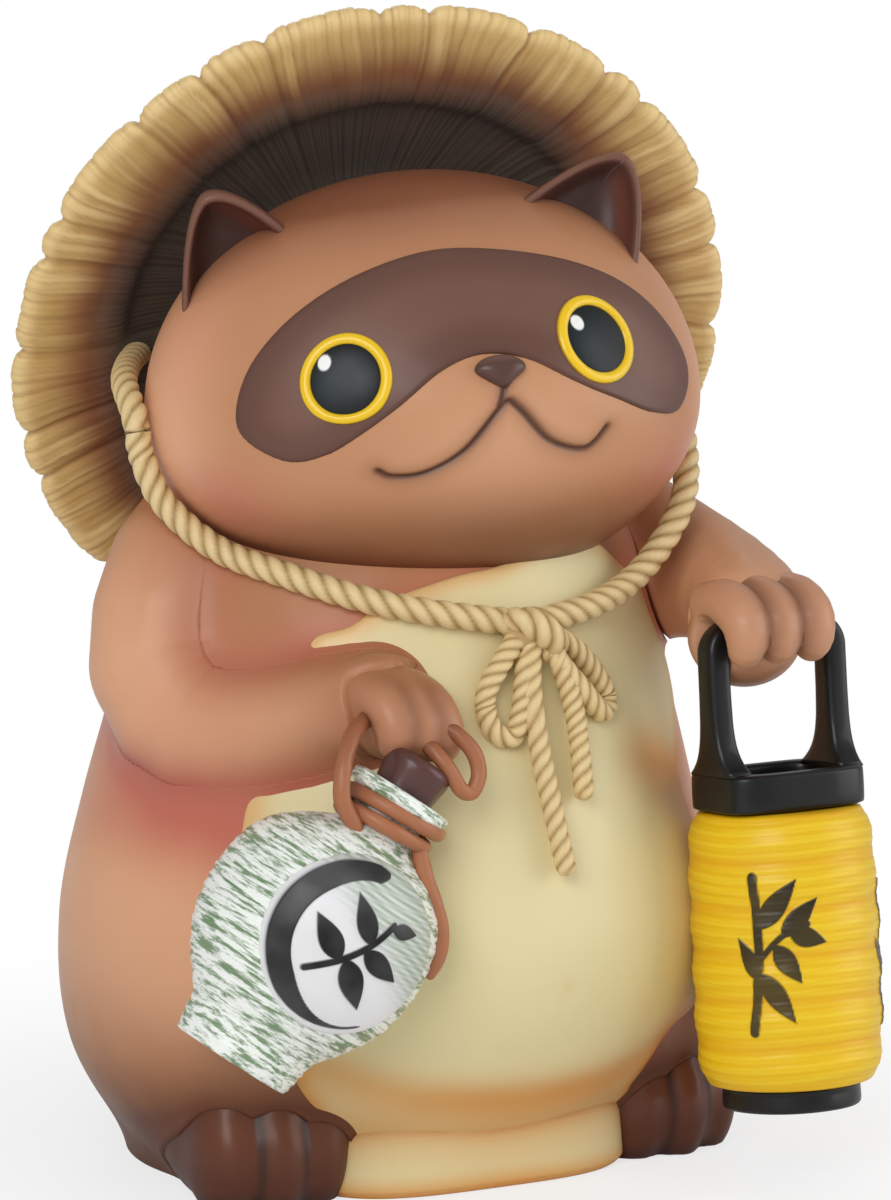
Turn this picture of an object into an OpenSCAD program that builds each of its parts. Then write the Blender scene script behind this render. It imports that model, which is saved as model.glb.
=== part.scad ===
// Tanuki statue: a hollow cast ornament of a raccoon dog that wears a straw hat on its back and
// holds a jug and a paper lantern. Millimetres, +X the figure's left, -Y its front, +Z up.
// The origin is on the floor, under the middle of the body.

/* [Body] */
// Width across the haunches
body_w = 172; // [160:1:180]
// Reach of the belly in front of the body's axis
body_front = 85; // [80:1:90]
// Reach of the rump behind the body's axis
body_back = 76; // [66:1:86]
// Height of the torso, up into the head
body_h = 186; // [182:1:192]
// Thickness of the cast walls
wall = 4; // [3:0.5:6]
// How far the cream belly stands proud of the body
belly_proud = 1.6; // [1:0.1:2.5]
// Height of the pouch under the belly
pouch_h = 38; // [34:1:42]
// Width of the pouch
pouch_w = 91; // [82:1:96]
// Width of a foot
foot_w = 42; // [38:1:46]
// Height of a foot
foot_h = 30; // [26:1:34]
// Thickness of the plate that closes the hollow body
plate_t = 3; // [2:0.5:5]
// Radius of the rubber plug in that plate
plug_r = 12; // [8:0.5:16]
// Radial play of the plug in its hole
plug_play = 0.1; // [0.05:0.05:0.3]

/* [Head] */
// Width of the head
head_w = 142; // [134:1:148]
// Depth of the head
head_d = 116; // [110:1:122]
// Height of the head above its middle
head_up = 58; // [54:1:62]
// Height of the head below its middle
head_down = 50; // [46:1:54]
// Height of the middle of the head
head_z = 195; // [192:1:198]
// How far the face is turned to the figure's right, in degrees
head_turn = 12; // [6:1:16]
// How far the face looks up, in degrees
head_nod = 8; // [2:1:12]
// How far the head leans to the figure's right, in degrees
head_lean = 2.5; // [0:0.5:6]
// How far the dark mask stands proud of the face
mask_proud = 0.7; // [0.4:0.1:1.2]
// Radius of a yellow eye ring
eye_r = 11.4; // [10:0.1:13]
// Radius of a dark pupil
pupil_r = 8.8; // [7:0.1:9.4]
// How far an ear stands out of the head
ear_h = 18; // [14:1:22]

/* [Hat] */
// Radius of the straw hat's brim
hat_r = 95; // [88:1:102]
// Depth of the hat from its rim to its point
hat_depth = 46; // [42:1:54]
// Radius of the deep middle that the head sits in
hat_recess_r = 66; // [62:1:70]
// Thickness of the straw at the rim
hat_t = 6; // [4:0.5:8]
// Bundles of straw round the brim
hat_bundles = 26; // [20:1:30]
// Depth of the grooves between those bundles
hat_groove = 1.1; // [0.6:0.1:1.6]
// Distance from the middle of the head back to the rim's plane
hat_set = 39; // [36:1:42]
// How far the hat is tipped back, in degrees
hat_tip = 21.5; // [18:0.5:26]

/* [Lantern] */
// Radius of the ribbed paper body
lantern_r = 24.4; // [21:0.1:25]
// Height of the paper body
lantern_h = 70; // [64:1:74]
// Number of ribs in the paper
lantern_ribs = 6; // [4:1:9]
// How far the lantern leans forward on the belly, in degrees
lantern_lean = 6; // [5:0.5:10]
// How far the lantern swings forward, in degrees
lantern_swing = 35; // [28:7:35]
// Height of the bar that the paw holds
bar_z = 139; // [137:1:141]
// Radius of that bar
bar_r = 3.5; // [2.5:0.1:4]
// Radial play of the bar in the paw
bar_play = 0.1; // [0.05:0.05:0.3]
// Radius of the foot ring under the paper
lantern_foot_r = 17.7; // [15:0.1:19]

/* [Jug] */
// Length of the jug from its base to its lip
jug_h = 78; // [72:1:84]
// Largest radius of the jug
jug_r = 29.5; // [26:0.5:31]
// Radius of the jug's lip
jug_lip_r = 12.6; // [11.6:0.1:14]
// Radius of the dark stopper
stopper_r = 8; // [6:0.1:9]
// Length of the stopper outside the jug
stopper_h = 9; // [7:0.5:11]
// Thickness of the jug's cord
jug_cord_d = 4.6; // [3:0.2:5]
// Radius of the jug's white label
label_r = 22; // [18:0.5:24]

/* [Rope] */
// Thickness of the rope under the chin
rope_d = 6.6; // [5:0.2:8]

/* [Hidden] */
$fn = 40;

fur = "peru";
dark_fur = "saddlebrown";
cream = "lemonchiffon";
straw = "burlywood";

// Shares of the body's half width, front and back at seven equal steps up the torso
width_share = [0.80, 0.97, 1, 0.93, 0.85, 0.74, 0.52];
front_share = [0.58, 0.88, 1.01, 0.93, 0.80, 0.67, 0.48];
back_share = [0.84, 1, 1.02, 0.92, 0.66, 0.48, 0.34];
steps = len(width_share) - 1;

// Blends four neighbours in a list by a smooth curve through the middle two
function between(a, b, c, d, t) =
    0.5 * (2 * b + (c - a) * t + (2 * a - 5 * b + 4 * c - d) * t * t + (3 * b - a - 3 * c + d) * t * t * t);

// The value of a list at a fractional index
function along(list, s) =
    let (last = len(list) - 1, i = max(0, min(floor(s), last - 1)))
    between(list[max(i - 1, 0)], list[i], list[i + 1], list[min(i + 2, last)], s - i);

function smooth(list, per) = [for (i = [0:(len(list) - 1) * per]) along(list, i / per)];

function unit(v) = v / norm(v);

function swell(x, p) = sign(x) * pow(abs(x), p);

// A point on the torso at angle a and height z, moved out by some millimetres
function body_pt(a, z, out = 0) =
    let (s = z / body_h * steps,
        w = body_w / 2 * along(width_share, s) + out,
        f = body_front * along(front_share, s) + out,
        g = body_back * along(back_share, s) + out)
    [w * swell(cos(a), 1.03), (sin(a) < 0 ? f : g) * swell(sin(a), 1.03), z];

// Joins rings of points, counterclockwise along the way they are stacked, into a closed solid
module skin(rings) {
    n = len(rings[0]);
    m = len(rings);
    sides = [for (i = [0:m - 2], j = [0:n - 1])
        let (a = i * n + j, b = i * n + (j + 1) % n) each [[a, a + n, b], [b, a + n, b + n]]];
    bottom = [for (j = [0:n - 1]) [m * n, j, (j + 1) % n]];
    top = [for (j = [0:n - 1]) [m * n + 1, (m - 1) * n + (j + 1) % n, (m - 1) * n + j]];
    centres = [for (end = [rings[0], rings[m - 1]]) [for (k = [0:2]) sum([for (p = end) p[k]]) / n]];
    polyhedron(concat([for (ring = rings) each ring], centres), concat(bottom, sides, top));
}

function sum(list, i = 0) = i < len(list) ? list[i] + sum(list, i + 1) : 0;

// One cast surface: the blended form inside it is kept as a single skin
module cast() {
    resize([0, 0, 0]) union() children();
}

// A round limb or cord through rows of x, y, z and radius, flattened along side by flat
function limb_rings(rows, side, n, flat) =
    [for (i = [0:len(rows) - 1])
        let (at = [for (k = [0:2]) rows[i][k]],
            ahead = rows[min(i + 1, len(rows) - 1)] - rows[max(i - 1, 0)],
            t = unit([ahead[0], ahead[1], ahead[2]]),
            u = unit(cross(t, side)),
            v = cross(t, u))
        [for (j = [0:n - 1]) at + rows[i][3] * (cos(360 * j / n) * u + flat * sin(360 * j / n) * v)]];

module limb(rows, side = [0, 0, 1], n = 14, per = 4, flat = 1) {
    skin(limb_rings(smooth(rows, per), side, n, flat));
}

module ellipsoid(at, radii, turn = [0, 0, 0], n = 20) {
    translate(at) rotate(turn) scale(radii) sphere(1, $fn = n);
}

// Radius of the hole that joins the hollow head to the hollow body
neck_hole_r = 24;

// The head's own frame: turned to the right, looking up a little and leaning
head_c = [1, -19, head_z];
head_tilt = [-head_nod, -head_lean, -head_turn];

module in_head() {
    translate(head_c) rotate(head_tilt) children();
}

// A point on the head at azimuth az and elevation el from the nose line, with the soft muzzle
function head_pt(az, el, out = 0) =
    let (muzzle = 0.05 * exp(-pow((az - 3) / 24, 2) - pow((el + 1) / 15, 2)),
        cheek = 0.03 * exp(-pow((abs(az) - 48) / 26, 2) - pow((el + 22) / 22, 2)),
        k = 1 + muzzle + cheek,
        h = el < 0 ? head_down : head_up)
    [(head_w / 2 * k + out) * sin(az) * cos(el),
        -(head_d / 2 * k + out) * cos(az) * cos(el),
        (h + out) * sin(el)];

module head_form(out = 0) {
    rings = [for (el = [-85:10:85]) [for (az = [0:12:348]) head_pt(az - 90, el, out)]];
    in_head() skin(rings);
}

module body_form(out = 0) {
    rings = [for (i = [0:12]) [for (a = [0:12:348]) body_pt(a, body_h * i / 12, out)]];
    haunch_x = body_w * 0.32;
    union() {
        skin(rings);
        intersection() {
            for (side = [-1, 1])
                ellipsoid([side * haunch_x, -12, 44], [body_w * 0.19 + out, 46 + out, 40 + out]);
            translate([0, 0, 50]) cube([300, 300, 100], center = true);
        }
    }
}

// The lantern's own frame: the bar is the X axis, and the lantern hangs down from it
bar_at = [70.5, -75, bar_z];

module in_lantern() {
    translate(bar_at) rotate([-lantern_lean, 0, 0]) children();
}

frame_top = -35;
frame_h = 10;
frame_d = 30;
paper_top = frame_top - frame_h;
paper_bottom = paper_top - lantern_h;
post_w = 6.5;
post_d = 8;
post_x = 17;

// The space that the lantern needs beside the body, with its clearance
module lantern_room() {
    in_lantern() translate([0, 0, paper_bottom - 8]) cylinder(h = lantern_h + frame_h + 12, r = lantern_r + 0.8);
}

// The jug's own frame: up its axis from the middle of its base
jug_at = [-82, -76, 45];

module in_jug() {
    translate(jug_at) rotate([0, 35, -8]) children();
}

neck_r = 9.5;

// The outline of the cream panel on the belly, seen from the front, as x and z
belly_line = [[-27, 151], [-10, 156], [4, 158], [19, 163], [34, 161], [46, 152], [58, 141], [63, 122], [58, 103],
    [61, 82], [62, 57], [58, 42], [47, 34], [40, 22], [38, 8], [-44, 8], [-50, 24], [-57, 36],
    [-64, 58], [-66, 80], [-62, 102], [-57, 113], [-50, 127], [-45, 141], [-36, 145]];

module belly_form() {
    intersection() {
        body_form(belly_proud);
        translate([0, -20, 0]) rotate([90, 0, 0]) linear_extrude(100)
            polygon([for (p = smooth(concat(belly_line, [belly_line[0]]), 2)) [p[0] * body_w / 172, p[1]]]);
    }
}

module pouch_form() {
    outer = [for (a = [0:18:342]) [pouch_w / 2 * swell(cos(a), 0.6), 34 * swell(sin(a), 0.6)]];
    translate([-0.5, -30, 0])
        skin([for (row = [[0, 0.96], [0.1, 1], [0.45, 0.98], [0.8, 0.92], [1, 0.8]])
            [for (p = outer) [p[0] * row[1], p[1] * row[1], pouch_h * row[0]]]]);
}

module foot_form(side) {
    translate([side * 55, -34, 0]) rotate([0, 0, side * 8]) intersection() {
        union() {
            ellipsoid([0, 3, foot_h * 0.4], [foot_w / 2, 25, foot_h * 0.6], n = 16);
            for (toe = [-1:1])
                ellipsoid([toe * foot_w * 0.3, -15 + abs(toe) * 3, foot_h * 0.38], [foot_w * 0.19, 12, foot_h * 0.56], n = 12);
        }
        translate([0, 0, 50]) cube([100, 100, 100], center = true);
    }
}

// Shoulder to wrist, then the paw
right_arm_rows = [[-0.244 * body_w, 8, 168, 15], [-0.337 * body_w, 0, 154, 18], [-0.395 * body_w, -8, 131, 17.5],
    [-0.372 * body_w, -24, 118, 15], [-0.314 * body_w, -0.5 * body_front, 119, 13], [-43, -54, 124, 12], [-35, -61, 127, 11]];
left_arm_rows = [[0.267 * body_w, 8, 164, 15], [0.349 * body_w, -4, 157, 18], [0.413 * body_w, -22, 149, 17],
    [0.424 * body_w, -42, 145, 15], [73, -58, 143.5, 13.5], [70.5, -67, 142, 12.5]];

module right_arm_form() {
    limb(right_arm_rows, per = 3);
    ellipsoid([-35, -61, 127], [11, 11, 11], n = 14);
}

module right_paw_form() {
    ellipsoid([-32, -68, 125], [12, 10, 11], [0, 10, 0], 16);
    for (i = [0:2])
        limb([[-40 + 7 * i, -68, 131 - i, 4.4], [-40 + 7 * i, -77, 130 - i, 4.9], [-39 + 7 * i, -81, 124 - i, 4.8],
            [-39 + 7 * i, -80, 119 - i, 4]], [1, 0, 0], 10, 2);
}

// The paw holds the bar a little to the right of its middle
grip_x = -4.5;

module fist_form() {
    ellipsoid([bar_at[0] + grip_x, bar_at[1] + 5, bar_z - 2], [15, 13, 13], [0, 0, 0], 18);
}

module fingers_form() {
    for (i = [-1:1])
        translate([bar_at[0] + grip_x + 9.6 * i, bar_at[1], bar_z])
            limb([[0, 6, 7.1, 5.4], [0, -3, 8.2, 6], [0, -10.4, 5.3, 6], [0, -12.4, 0.3, 5.3], [0, -11.1, -2.9, 4.2]], [1, 0, 0], 10, 3);
}

// The handle's ends sweep through this space when the lantern swings
module handle_room() {
    inner = post_x - post_w / 2 - 0.3;
    in_lantern() for (side = [-1, 1])
        translate([side * (inner + 20), 0, 0]) {
            rotate([0, 90, 0]) cylinder(h = 40, r = post_d / 2 + 0.45, center = true, $fn = 32);
            for (share = [0, 0.5, 1])
                rotate([-share * lantern_swing, 0, 0]) translate([0, 0, -20]) cube([40, post_d + 0.8, 40], center = true);
        }
}

// Routes of the rope, from the hat to the knot under the chin, as x, y and z
rope_right_line = [for (p = [[-0.338, 44, 203], [-0.423, 26, 202], [-0.486, 9, 200], [-0.511, -4, 194], [-0.507, -8, 183],
    [-0.479, -13, 172], [-0.415, -24, 162], [-0.338, -39, 157], [-0.239, -53, 152], [-0.127, -62, 148.5], [0, -66, 145.5]])
    [p[0] * head_w, p[1], p[2]]];
rope_left_line = [for (p = [[0.085, -65, 145], [0.197, -61, 147], [0.296, -54.5, 151], [0.373, -50, 158.5], [0.43, -47, 169],
    [0.458, -41, 180], [0.479, -30, 190], [0.486, -14, 197], [0.465, 4, 201], [0.401, 22, 204]]) [p[0] * head_w, p[1], p[2]]];

function cord_rows(line, r) = [for (p = line) concat(p, r)];

module rope(line) {
    color(straw) limb(cord_rows(line, rope_d / 2), [0, 0, 1], 8, 2);
}

module body_shell() {
    color(fur) cast() difference() {
        body_form();
        head_form();
        skin([for (i = [0:10]) [for (a = [0:18:342]) body_pt(a, max(0, body_h * i / 10 - (i > 9 ? 2 : 0)), -wall * 1.3)]]);
        lantern_room();
    }
}

module head_shell() {
    color(fur) cast() difference() {
        head_form();
        in_head() scale([1 - 2 * wall / head_w, 1 - 2 * wall / head_d, 1 - wall / head_down])
            skin([for (el = [-80:20:80]) [for (az = [0:24:336]) head_pt(az - 90, el)]]);
        translate([0, -10, head_z - head_down - 10]) cylinder(h = 20, r = neck_hole_r, $fn = 24);
        in_head() limb(cord_rows([for (p = [[-23, -18], [-20, -20], [-13, -19.5], [-5, -14], [2, -3], [4, -0.7], [6, -3], [13, -13],
            [22, -16.5], [27, -10.8]]) head_pt(p[0], p[1])], 1), [0, 1, 0], 6, 2);
    }
}

module belly_panel() {
    color(cream) cast() difference() {
        belly_form();
        body_form();
        head_form();
        lantern_room();
    }
}

module pouch() {
    color(cream) cast() difference() {
        pouch_form();
        body_form();
        belly_form();
    }
}

module foot(side) {
    color(dark_fur) cast() difference() {
        foot_form(side);
        body_form();
        pouch_form();
        belly_form();
        lantern_room();
    }
}

module right_foot() {
    foot(-1);
}

module left_foot() {
    foot(1);
}

module tail() {
    color(dark_fur) cast() difference() {
        limb([[0, 58, 26, 6], [8, 74, 24, 18], [26, 80, 30, 21], [44, 76, 44, 18], [54, 68, 58, 8], [56, 64, 64, 1]],
            [0, 0, 1], 16, 2);
        body_form();
    }
}

module base_plate() {
    color("darkkhaki") difference() {
        linear_extrude(plate_t) polygon([for (a = [0:18:342]) let (p = body_pt(a, 0, -wall * 1.3)) [p[0], p[1]]]);
        translate([0, plug_y, -1]) cylinder(h = plate_t + 2, r = plug_r + plug_play);
    }
}

// The plug's place, and how far it sits up in its hole
plug_y = 36;
plug_recess = 0.6;

module base_plug() {
    color("dimgray") translate([0, plug_y, plug_recess]) {
        cylinder(h = plate_t + 2, r = plug_r);
        translate([0, 0, plate_t + plug_play]) cylinder(h = 4, r1 = plug_r, r2 = plug_r - 2);
    }
}

module right_arm() {
    color(fur) cast() difference() {
        right_arm_form();
        body_form();
        belly_form();
        head_form();
    }
}

module right_paw() {
    color(fur) cast() difference() {
        right_paw_form();
        right_arm_form();
        body_form();
        belly_form();
    }
}

module left_arm() {
    color(fur) cast() difference() {
        limb(left_arm_rows, per = 3);
        body_form();
        belly_form();
        head_form();
        fist_form();
    }
}

module bar_bore() {
    translate(bar_at - [30, 0, 0]) rotate([0, 90, 0]) cylinder(h = 60, r = bar_r + bar_play);
}

module left_paw() {
    color(fur) difference() {
        cast() difference() {
            fist_form();
            handle_room();
        }
        bar_bore();
    }
}

module left_fingers() {
    color(fur) cast() difference() {
        fingers_form();
        fist_form();
        handle_room();
        limb(left_arm_rows, per = 3);
        translate(bar_at - [30, 0, 0]) rotate([0, 90, 0]) cylinder(h = 60, r = bar_r + 1, $fn = 24);
    }
}

module on_head(az, el, out = 0) {
    in_head() translate(head_pt(az, el, out)) rotate([0, 90 - el, az - 90]) children();
}

// A patch of the head's skin inside an outline of azimuths and elevations, grown by out
module face_patch(outline, out) {
    intersection() {
        head_form(out);
        in_head() skin([for (reach = [0.5, 1.7]) [for (p = outline) reach * head_pt(p[0], p[1])]]);
    }
}

mask_line = [[9, 39], [-8, 40], [-25, 35], [-39, 26], [-49, 14], [-53, 2], [-51, -6], [-42, -13], [-33, -12], [-24, -6],
    [-16, 1], [-8, 8], [0, 11], [9, 9], [18, 3], [29, -3], [40, -8], [51, -8], [58, 3], [53, 15], [43, 26], [28, 34]];
right_eye_at = [-27.7, 7.6];
left_eye_at = [26.5, 12.3];

module mask_form(out) {
    face_patch(smooth(concat(mask_line, [mask_line[0]]), 2), out);
}

module face_mask() {
    color("rosybrown") cast() difference() {
        mask_form(mask_proud);
        head_form();
        for (at = [right_eye_at, left_eye_at])
            on_head(at[0], at[1]) cylinder(h = 30, r = eye_r, center = true);
    }
}

module eye_ring(at) {
    color("gold") cast() difference() {
        intersection() {
            head_form(mask_proud + 0.6);
            on_head(at[0], at[1]) cylinder(h = 30, r = eye_r, center = true);
        }
        on_head(at[0], at[1]) cylinder(h = 40, r = pupil_r, center = true);
        head_form();
    }
}

module eye_pupil(at) {
    color("darkslategray") cast() difference() {
        intersection() {
            head_form(mask_proud + 0.9);
            on_head(at[0], at[1]) cylinder(h = 30, r = pupil_r, center = true);
        }
        head_form();
    }
}

module right_eye() {
    eye_ring(right_eye_at);
}

module left_eye() {
    eye_ring(left_eye_at);
}

module right_pupil() {
    eye_pupil(right_eye_at);
}

module left_pupil() {
    eye_pupil(left_eye_at);
}

module nose() {
    color(dark_fur) cast() difference() {
        on_head(3, 7, 0.5) ellipsoid([0, 0, 0], [4.5, 6.5, 3.2], n = 16);
        mask_form(mask_proud);
        head_form();
    }
}

// An ear's outline: a soft triangle on two base points and a tip, shrunk and moved back
function ear_ring(a, b, tip, size, back) =
    let (mid = (a + b) / 2,
        heart = mid + 0.3 * (tip - mid),
        n = unit(cross(tip - a, b - a)))
    [for (side = [-1, 1], i = [0:6])
        let (v = side < 0 ? -0.4 + 1.4 * i / 6.5 : 1 - 1.4 * i / 6.5,
            p = mid + v * (tip - mid) + side * 0.5 * pow(max(0, 1 - max(v, 0)), 0.6) * (b - a))
        heart + size * (p - heart) + back * n];

// A cupped ear that stands in the head between two azimuths and elevations
module ear_form(base_a, base_b, tip) {
    a = head_pt(base_a[0], base_a[1], -1);
    b = head_pt(base_b[0], base_b[1], -1);
    t = head_pt(tip[0], tip[1], ear_h);
    in_head() difference() {
        skin([for (row = [[0.93, -2], [1, 0], [0.95, 4], [0.8, 8], [0.5, 11]]) ear_ring(a, b, t, row[0], row[1])]);
        skin([for (row = [[0.85, -4], [0.78, 0], [0.62, 3.5], [0.3, 6]]) ear_ring(a, b, t, row[0], row[1])]);
    }
}

module ear(base_a, base_b, tip) {
    color(dark_fur) cast() difference() {
        ear_form(base_a, base_b, tip);
        head_form();
        hat_form();
    }
}

module right_ear() {
    ear([-83, 27], [-59, 53], [-70, 47]);
}

module left_ear() {
    ear([36, 57], [59, 31], [60, 49]);
}

// The hat's own frame: the rim lies in its XY plane and the point is up its Z axis
module in_hat() {
    translate(head_c) rotate([-(90 - hat_tip), 0, -head_turn]) translate([-3, 3, hat_set]) children();
}

// The hat's outline from the middle of its hollow, out over the rim and up to its point
hat_line = [[8, 15], [40, 15], [54, 10], [hat_recess_r - 4, 7], [hat_recess_r, 2.5], [hat_recess_r + 5, 1], [hat_r - 6, -1.5],
    [hat_r, 0], [hat_r - 2, hat_t * 0.6], [hat_r - 6, hat_t], [hat_r - 16, hat_t + 6], [hat_recess_r, hat_t + 16],
    [42, hat_depth - 13], [22, hat_depth - 4], [8, hat_depth - 0.5]];

// The angle of the groove before each bundle of straw, a little uneven
function groove_turn(k) = (k + 0.25 * sin(137 * k)) * 360 / hat_bundles;

// Three points on each bundle: the groove beside it, and two on its back
hat_turns = [for (k = [0:hat_bundles - 1], part = [0, 0.3, 0.7])
    [groove_turn(k) * (1 - part) + groove_turn(k + 1) * part, part == 0 ? 1 : 0]];

module hat_form() {
    in_hat() skin([for (i = [0:len(hat_line) - 1])
        let (p = hat_line[i],
            brim = max(0, min(1, (p[0] - hat_recess_r) / 12)),
            under = i < 7 ? 1 : -1,
            cut = hat_groove * brim)
        [for (turn = hat_turns)
            let (r = p[0] - turn[1] * cut * (i > 5 && i < 10 ? 1 : 0))
            [r * cos(turn[0]), r * sin(turn[0]), p[1] + turn[1] * cut * under * 0.8]]]);
}

module hat() {
    color(straw) cast() difference() {
        hat_form();
        head_form();
        body_form();
    }
}

module rope_right() {
    color(straw) cast() difference() {
        rope(rope_right_line);
        knot_form();
        head_form();
        body_form();
        belly_form();
        hat_form();
        right_arm_form();
    }
}

module rope_left() {
    color(straw) cast() difference() {
        rope(rope_left_line);
        knot_form();
        head_form();
        body_form();
        belly_form();
        hat_form();
        limb(left_arm_rows, per = 3);
    }
}

module knot_form() {
    ellipsoid([6, -67, 143], [8, 5.5, 6], [0, 10, 0], 14);
}

module bow_knot() {
    color(straw) cast() difference() {
        knot_form();
        body_form();
        belly_form();
    }
}

right_loop_line = [[2, -68, 142], [-4, -70, 136], [-9, -71, 128], [-8, -73, 120], [-3, -74, 118], [0, -73, 124], [3, -70, 136]];
left_loop_line = [[9, -68, 142], [18, -66, 138], [26, -64, 130], [29, -65, 123], [25, -69, 121], [18, -71, 128], [10, -69, 138]];
long_tail_line = [[5, -69, 140], [3, -73, 128], [3, -78, 113], [4, -83, 99], [5, -87, 87]];
short_tail_line = [[10, -69, 141], [14, -71, 130], [15, -75, 118], [14, -80, 104]];

bow_r = rope_d * 0.4;

module bow_form(line) {
    limb(cord_rows(line, bow_r), [0, 1, 0], 8, 3);
}

module bow_piece(line, over) {
    color(straw) cast() difference() {
        bow_form(line);
        bow_form(over);
        knot_form();
        body_form();
        belly_form();
    }
}

module bow_loop_right() {
    bow_piece(right_loop_line, long_tail_line);
}

module bow_loop_left() {
    bow_piece(left_loop_line, short_tail_line);
}

module bow_tail_long() {
    bow_piece(long_tail_line, short_tail_line);
}

module bow_tail_short() {
    color(straw) cast() difference() {
        bow_form(short_tail_line);
        knot_form();
        body_form();
        belly_form();
    }
}

// The jug's outline up its axis, as shares of its largest radius and heights, moved out by some millimetres
function jug_line(out) = [for (row = [[0.55, 0], [0.57, 6], [0.6, 10], [0.78, 17], [0.93, 25], [0.99, 33], [1, 40], [0.96, 48],
    [0.85, 55], [0.64, 60.5]]) [jug_r * row[0] + out, row[1] * jug_h / 78]];

module jug_form() {
    in_jug() rotate_extrude($fn = 28) polygon(concat([[0, 0]], jug_line(0), [[neck_r + 2.5, jug_h - 13.5],
        [neck_r, jug_h - 12], [neck_r, jug_h - 5], [jug_lip_r, jug_h - 3], [jug_lip_r, jug_h - 0.8], [jug_lip_r - 2, jug_h],
        [0, jug_h]]));
}

module stopper_form() {
    in_jug() translate([0, 0, jug_h]) cylinder(h = stopper_h, r1 = stopper_r, r2 = stopper_r + 1.5, $fn = 28);
}

module jug_body() {
    color("darkseagreen") cast() difference() {
        jug_form();
        body_form();
        belly_form();
        right_arm_form();
        right_paw_form();
    }
}

module jug_label() {
    color("white") cast() difference() {
        intersection() {
            in_jug() translate([0, 0, jug_h * 0.5]) rotate([90, 0, -2]) cylinder(h = jug_r + 20, r = label_r, $fn = 36);
            in_jug() rotate_extrude($fn = 28) polygon(concat([[0, 1]], jug_line(0.9), [[0, jug_h - 16]]));
        }
        jug_form();
        body_form();
        belly_form();
    }
}

module jug_stopper() {
    color(dark_fur) cast() difference() {
        stopper_form();
        right_paw_form();
        right_arm_form();
        body_form();
        belly_form();
    }
}

module cord_rings() {
    for (i = [0:1])
        in_jug() translate([0, 0, jug_h - 11 + i * jug_cord_d * 0.86]) rotate_extrude($fn = 22)
            translate([neck_r + jug_cord_d / 2 - 0.6, 0]) circle(jug_cord_d / 2, $fn = 8);
}

module jug_cord() {
    color("sienna") cast() difference() {
        cord_rings();
        jug_form();
        body_form();
        belly_form();
        right_paw_form();
        right_arm_form();
    }
}

strap_line = [[-54, -88, 103], [-57.5, -88, 110], [-56, -86, 118], [-51, -81, 124], [-44, -74, 126]];
loop_line = [[-30, -78, 126], [-23, -82, 124], [-17, -85, 118], [-18, -87, 111], [-25, -88, 105]];

module jug_strap_form() {
    limb(cord_rows(strap_line, jug_cord_d / 2), [1, 0, 0], 8, 3);
}

module jug_strap() {
    color("sienna") cast() difference() {
        jug_strap_form();
        cord_rings();
        jug_form();
        right_paw_form();
        right_arm_form();
        body_form();
        belly_form();
    }
}

module jug_loop() {
    color("sienna") cast() difference() {
        limb(cord_rows(loop_line, jug_cord_d / 2 + 0.6), [1, 0, 0], 8, 3);
        cord_rings();
        jug_form();
        stopper_form();
        right_paw_form();
        right_arm_form();
        body_form();
        belly_form();
    }
}

module lantern_paper() {
    rib = lantern_h / lantern_ribs;
    color("gold") in_lantern() translate([0, 0, paper_bottom]) rotate_extrude()
        polygon(concat([[0, 0], [lantern_r - 4.5, 0]],
            [for (i = [0:lantern_ribs * 4 - 1]) let (h = (i + 0.5) * rib / 4)
                [lantern_r - 0.5 + 0.5 * cos(360 * h / rib + 180) - 3 * pow(abs(2 * h / lantern_h - 1), 8), h]],
            [[lantern_r - 4.5, lantern_h], [0, lantern_h]]));
}

module lantern_foot() {
    color("black") in_lantern() translate([0, 0, paper_bottom - 6]) difference() {
        cylinder(h = 6, r = lantern_foot_r);
        translate([0, 0, -1]) cylinder(h = 4, r = lantern_foot_r - 3);
    }
}

module rounded_block(w, d, h, r) {
    linear_extrude(h) offset(r, $fn = 24) square([w - 2 * r, d - 2 * r], center = true);
}

module lantern_frame() {
    color("black") in_lantern() translate([0, 0, paper_top]) difference() {
        rounded_block(post_x * 2 + post_w, frame_d, frame_h, 9);
        translate([0, 0, 3]) rounded_block(post_x * 2 - post_w, frame_d - 10, frame_h, 5);
    }
}

module lantern_handle() {
    color("black") in_lantern() {
        rotate([0, 90, 0]) cylinder(h = 2 * post_x, r = bar_r, center = true);
        for (side = [-1, 1])
            translate([side * post_x, 0, 0]) {
                rotate([0, 90, 0]) cylinder(h = post_w, r = post_d / 2, center = true);
                translate([0, 0, frame_top / 2]) cube([post_w, post_d, -frame_top], center = true);
            }
    }
}

body_shell();
belly_panel();
pouch();
right_foot();
left_foot();
tail();
base_plate();
base_plug();
right_arm();
right_paw();
left_arm();
left_paw();
left_fingers();
head_shell();
face_mask();
right_ear();
left_ear();
right_eye();
left_eye();
right_pupil();
left_pupil();
nose();
hat();
rope_right();
rope_left();
bow_knot();
bow_loop_right();
bow_loop_left();
bow_tail_long();
bow_tail_short();
jug_body();
jug_label();
jug_stopper();
jug_cord();
jug_strap();
jug_loop();
lantern_paper();
lantern_frame();
lantern_handle();
lantern_foot();
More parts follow.
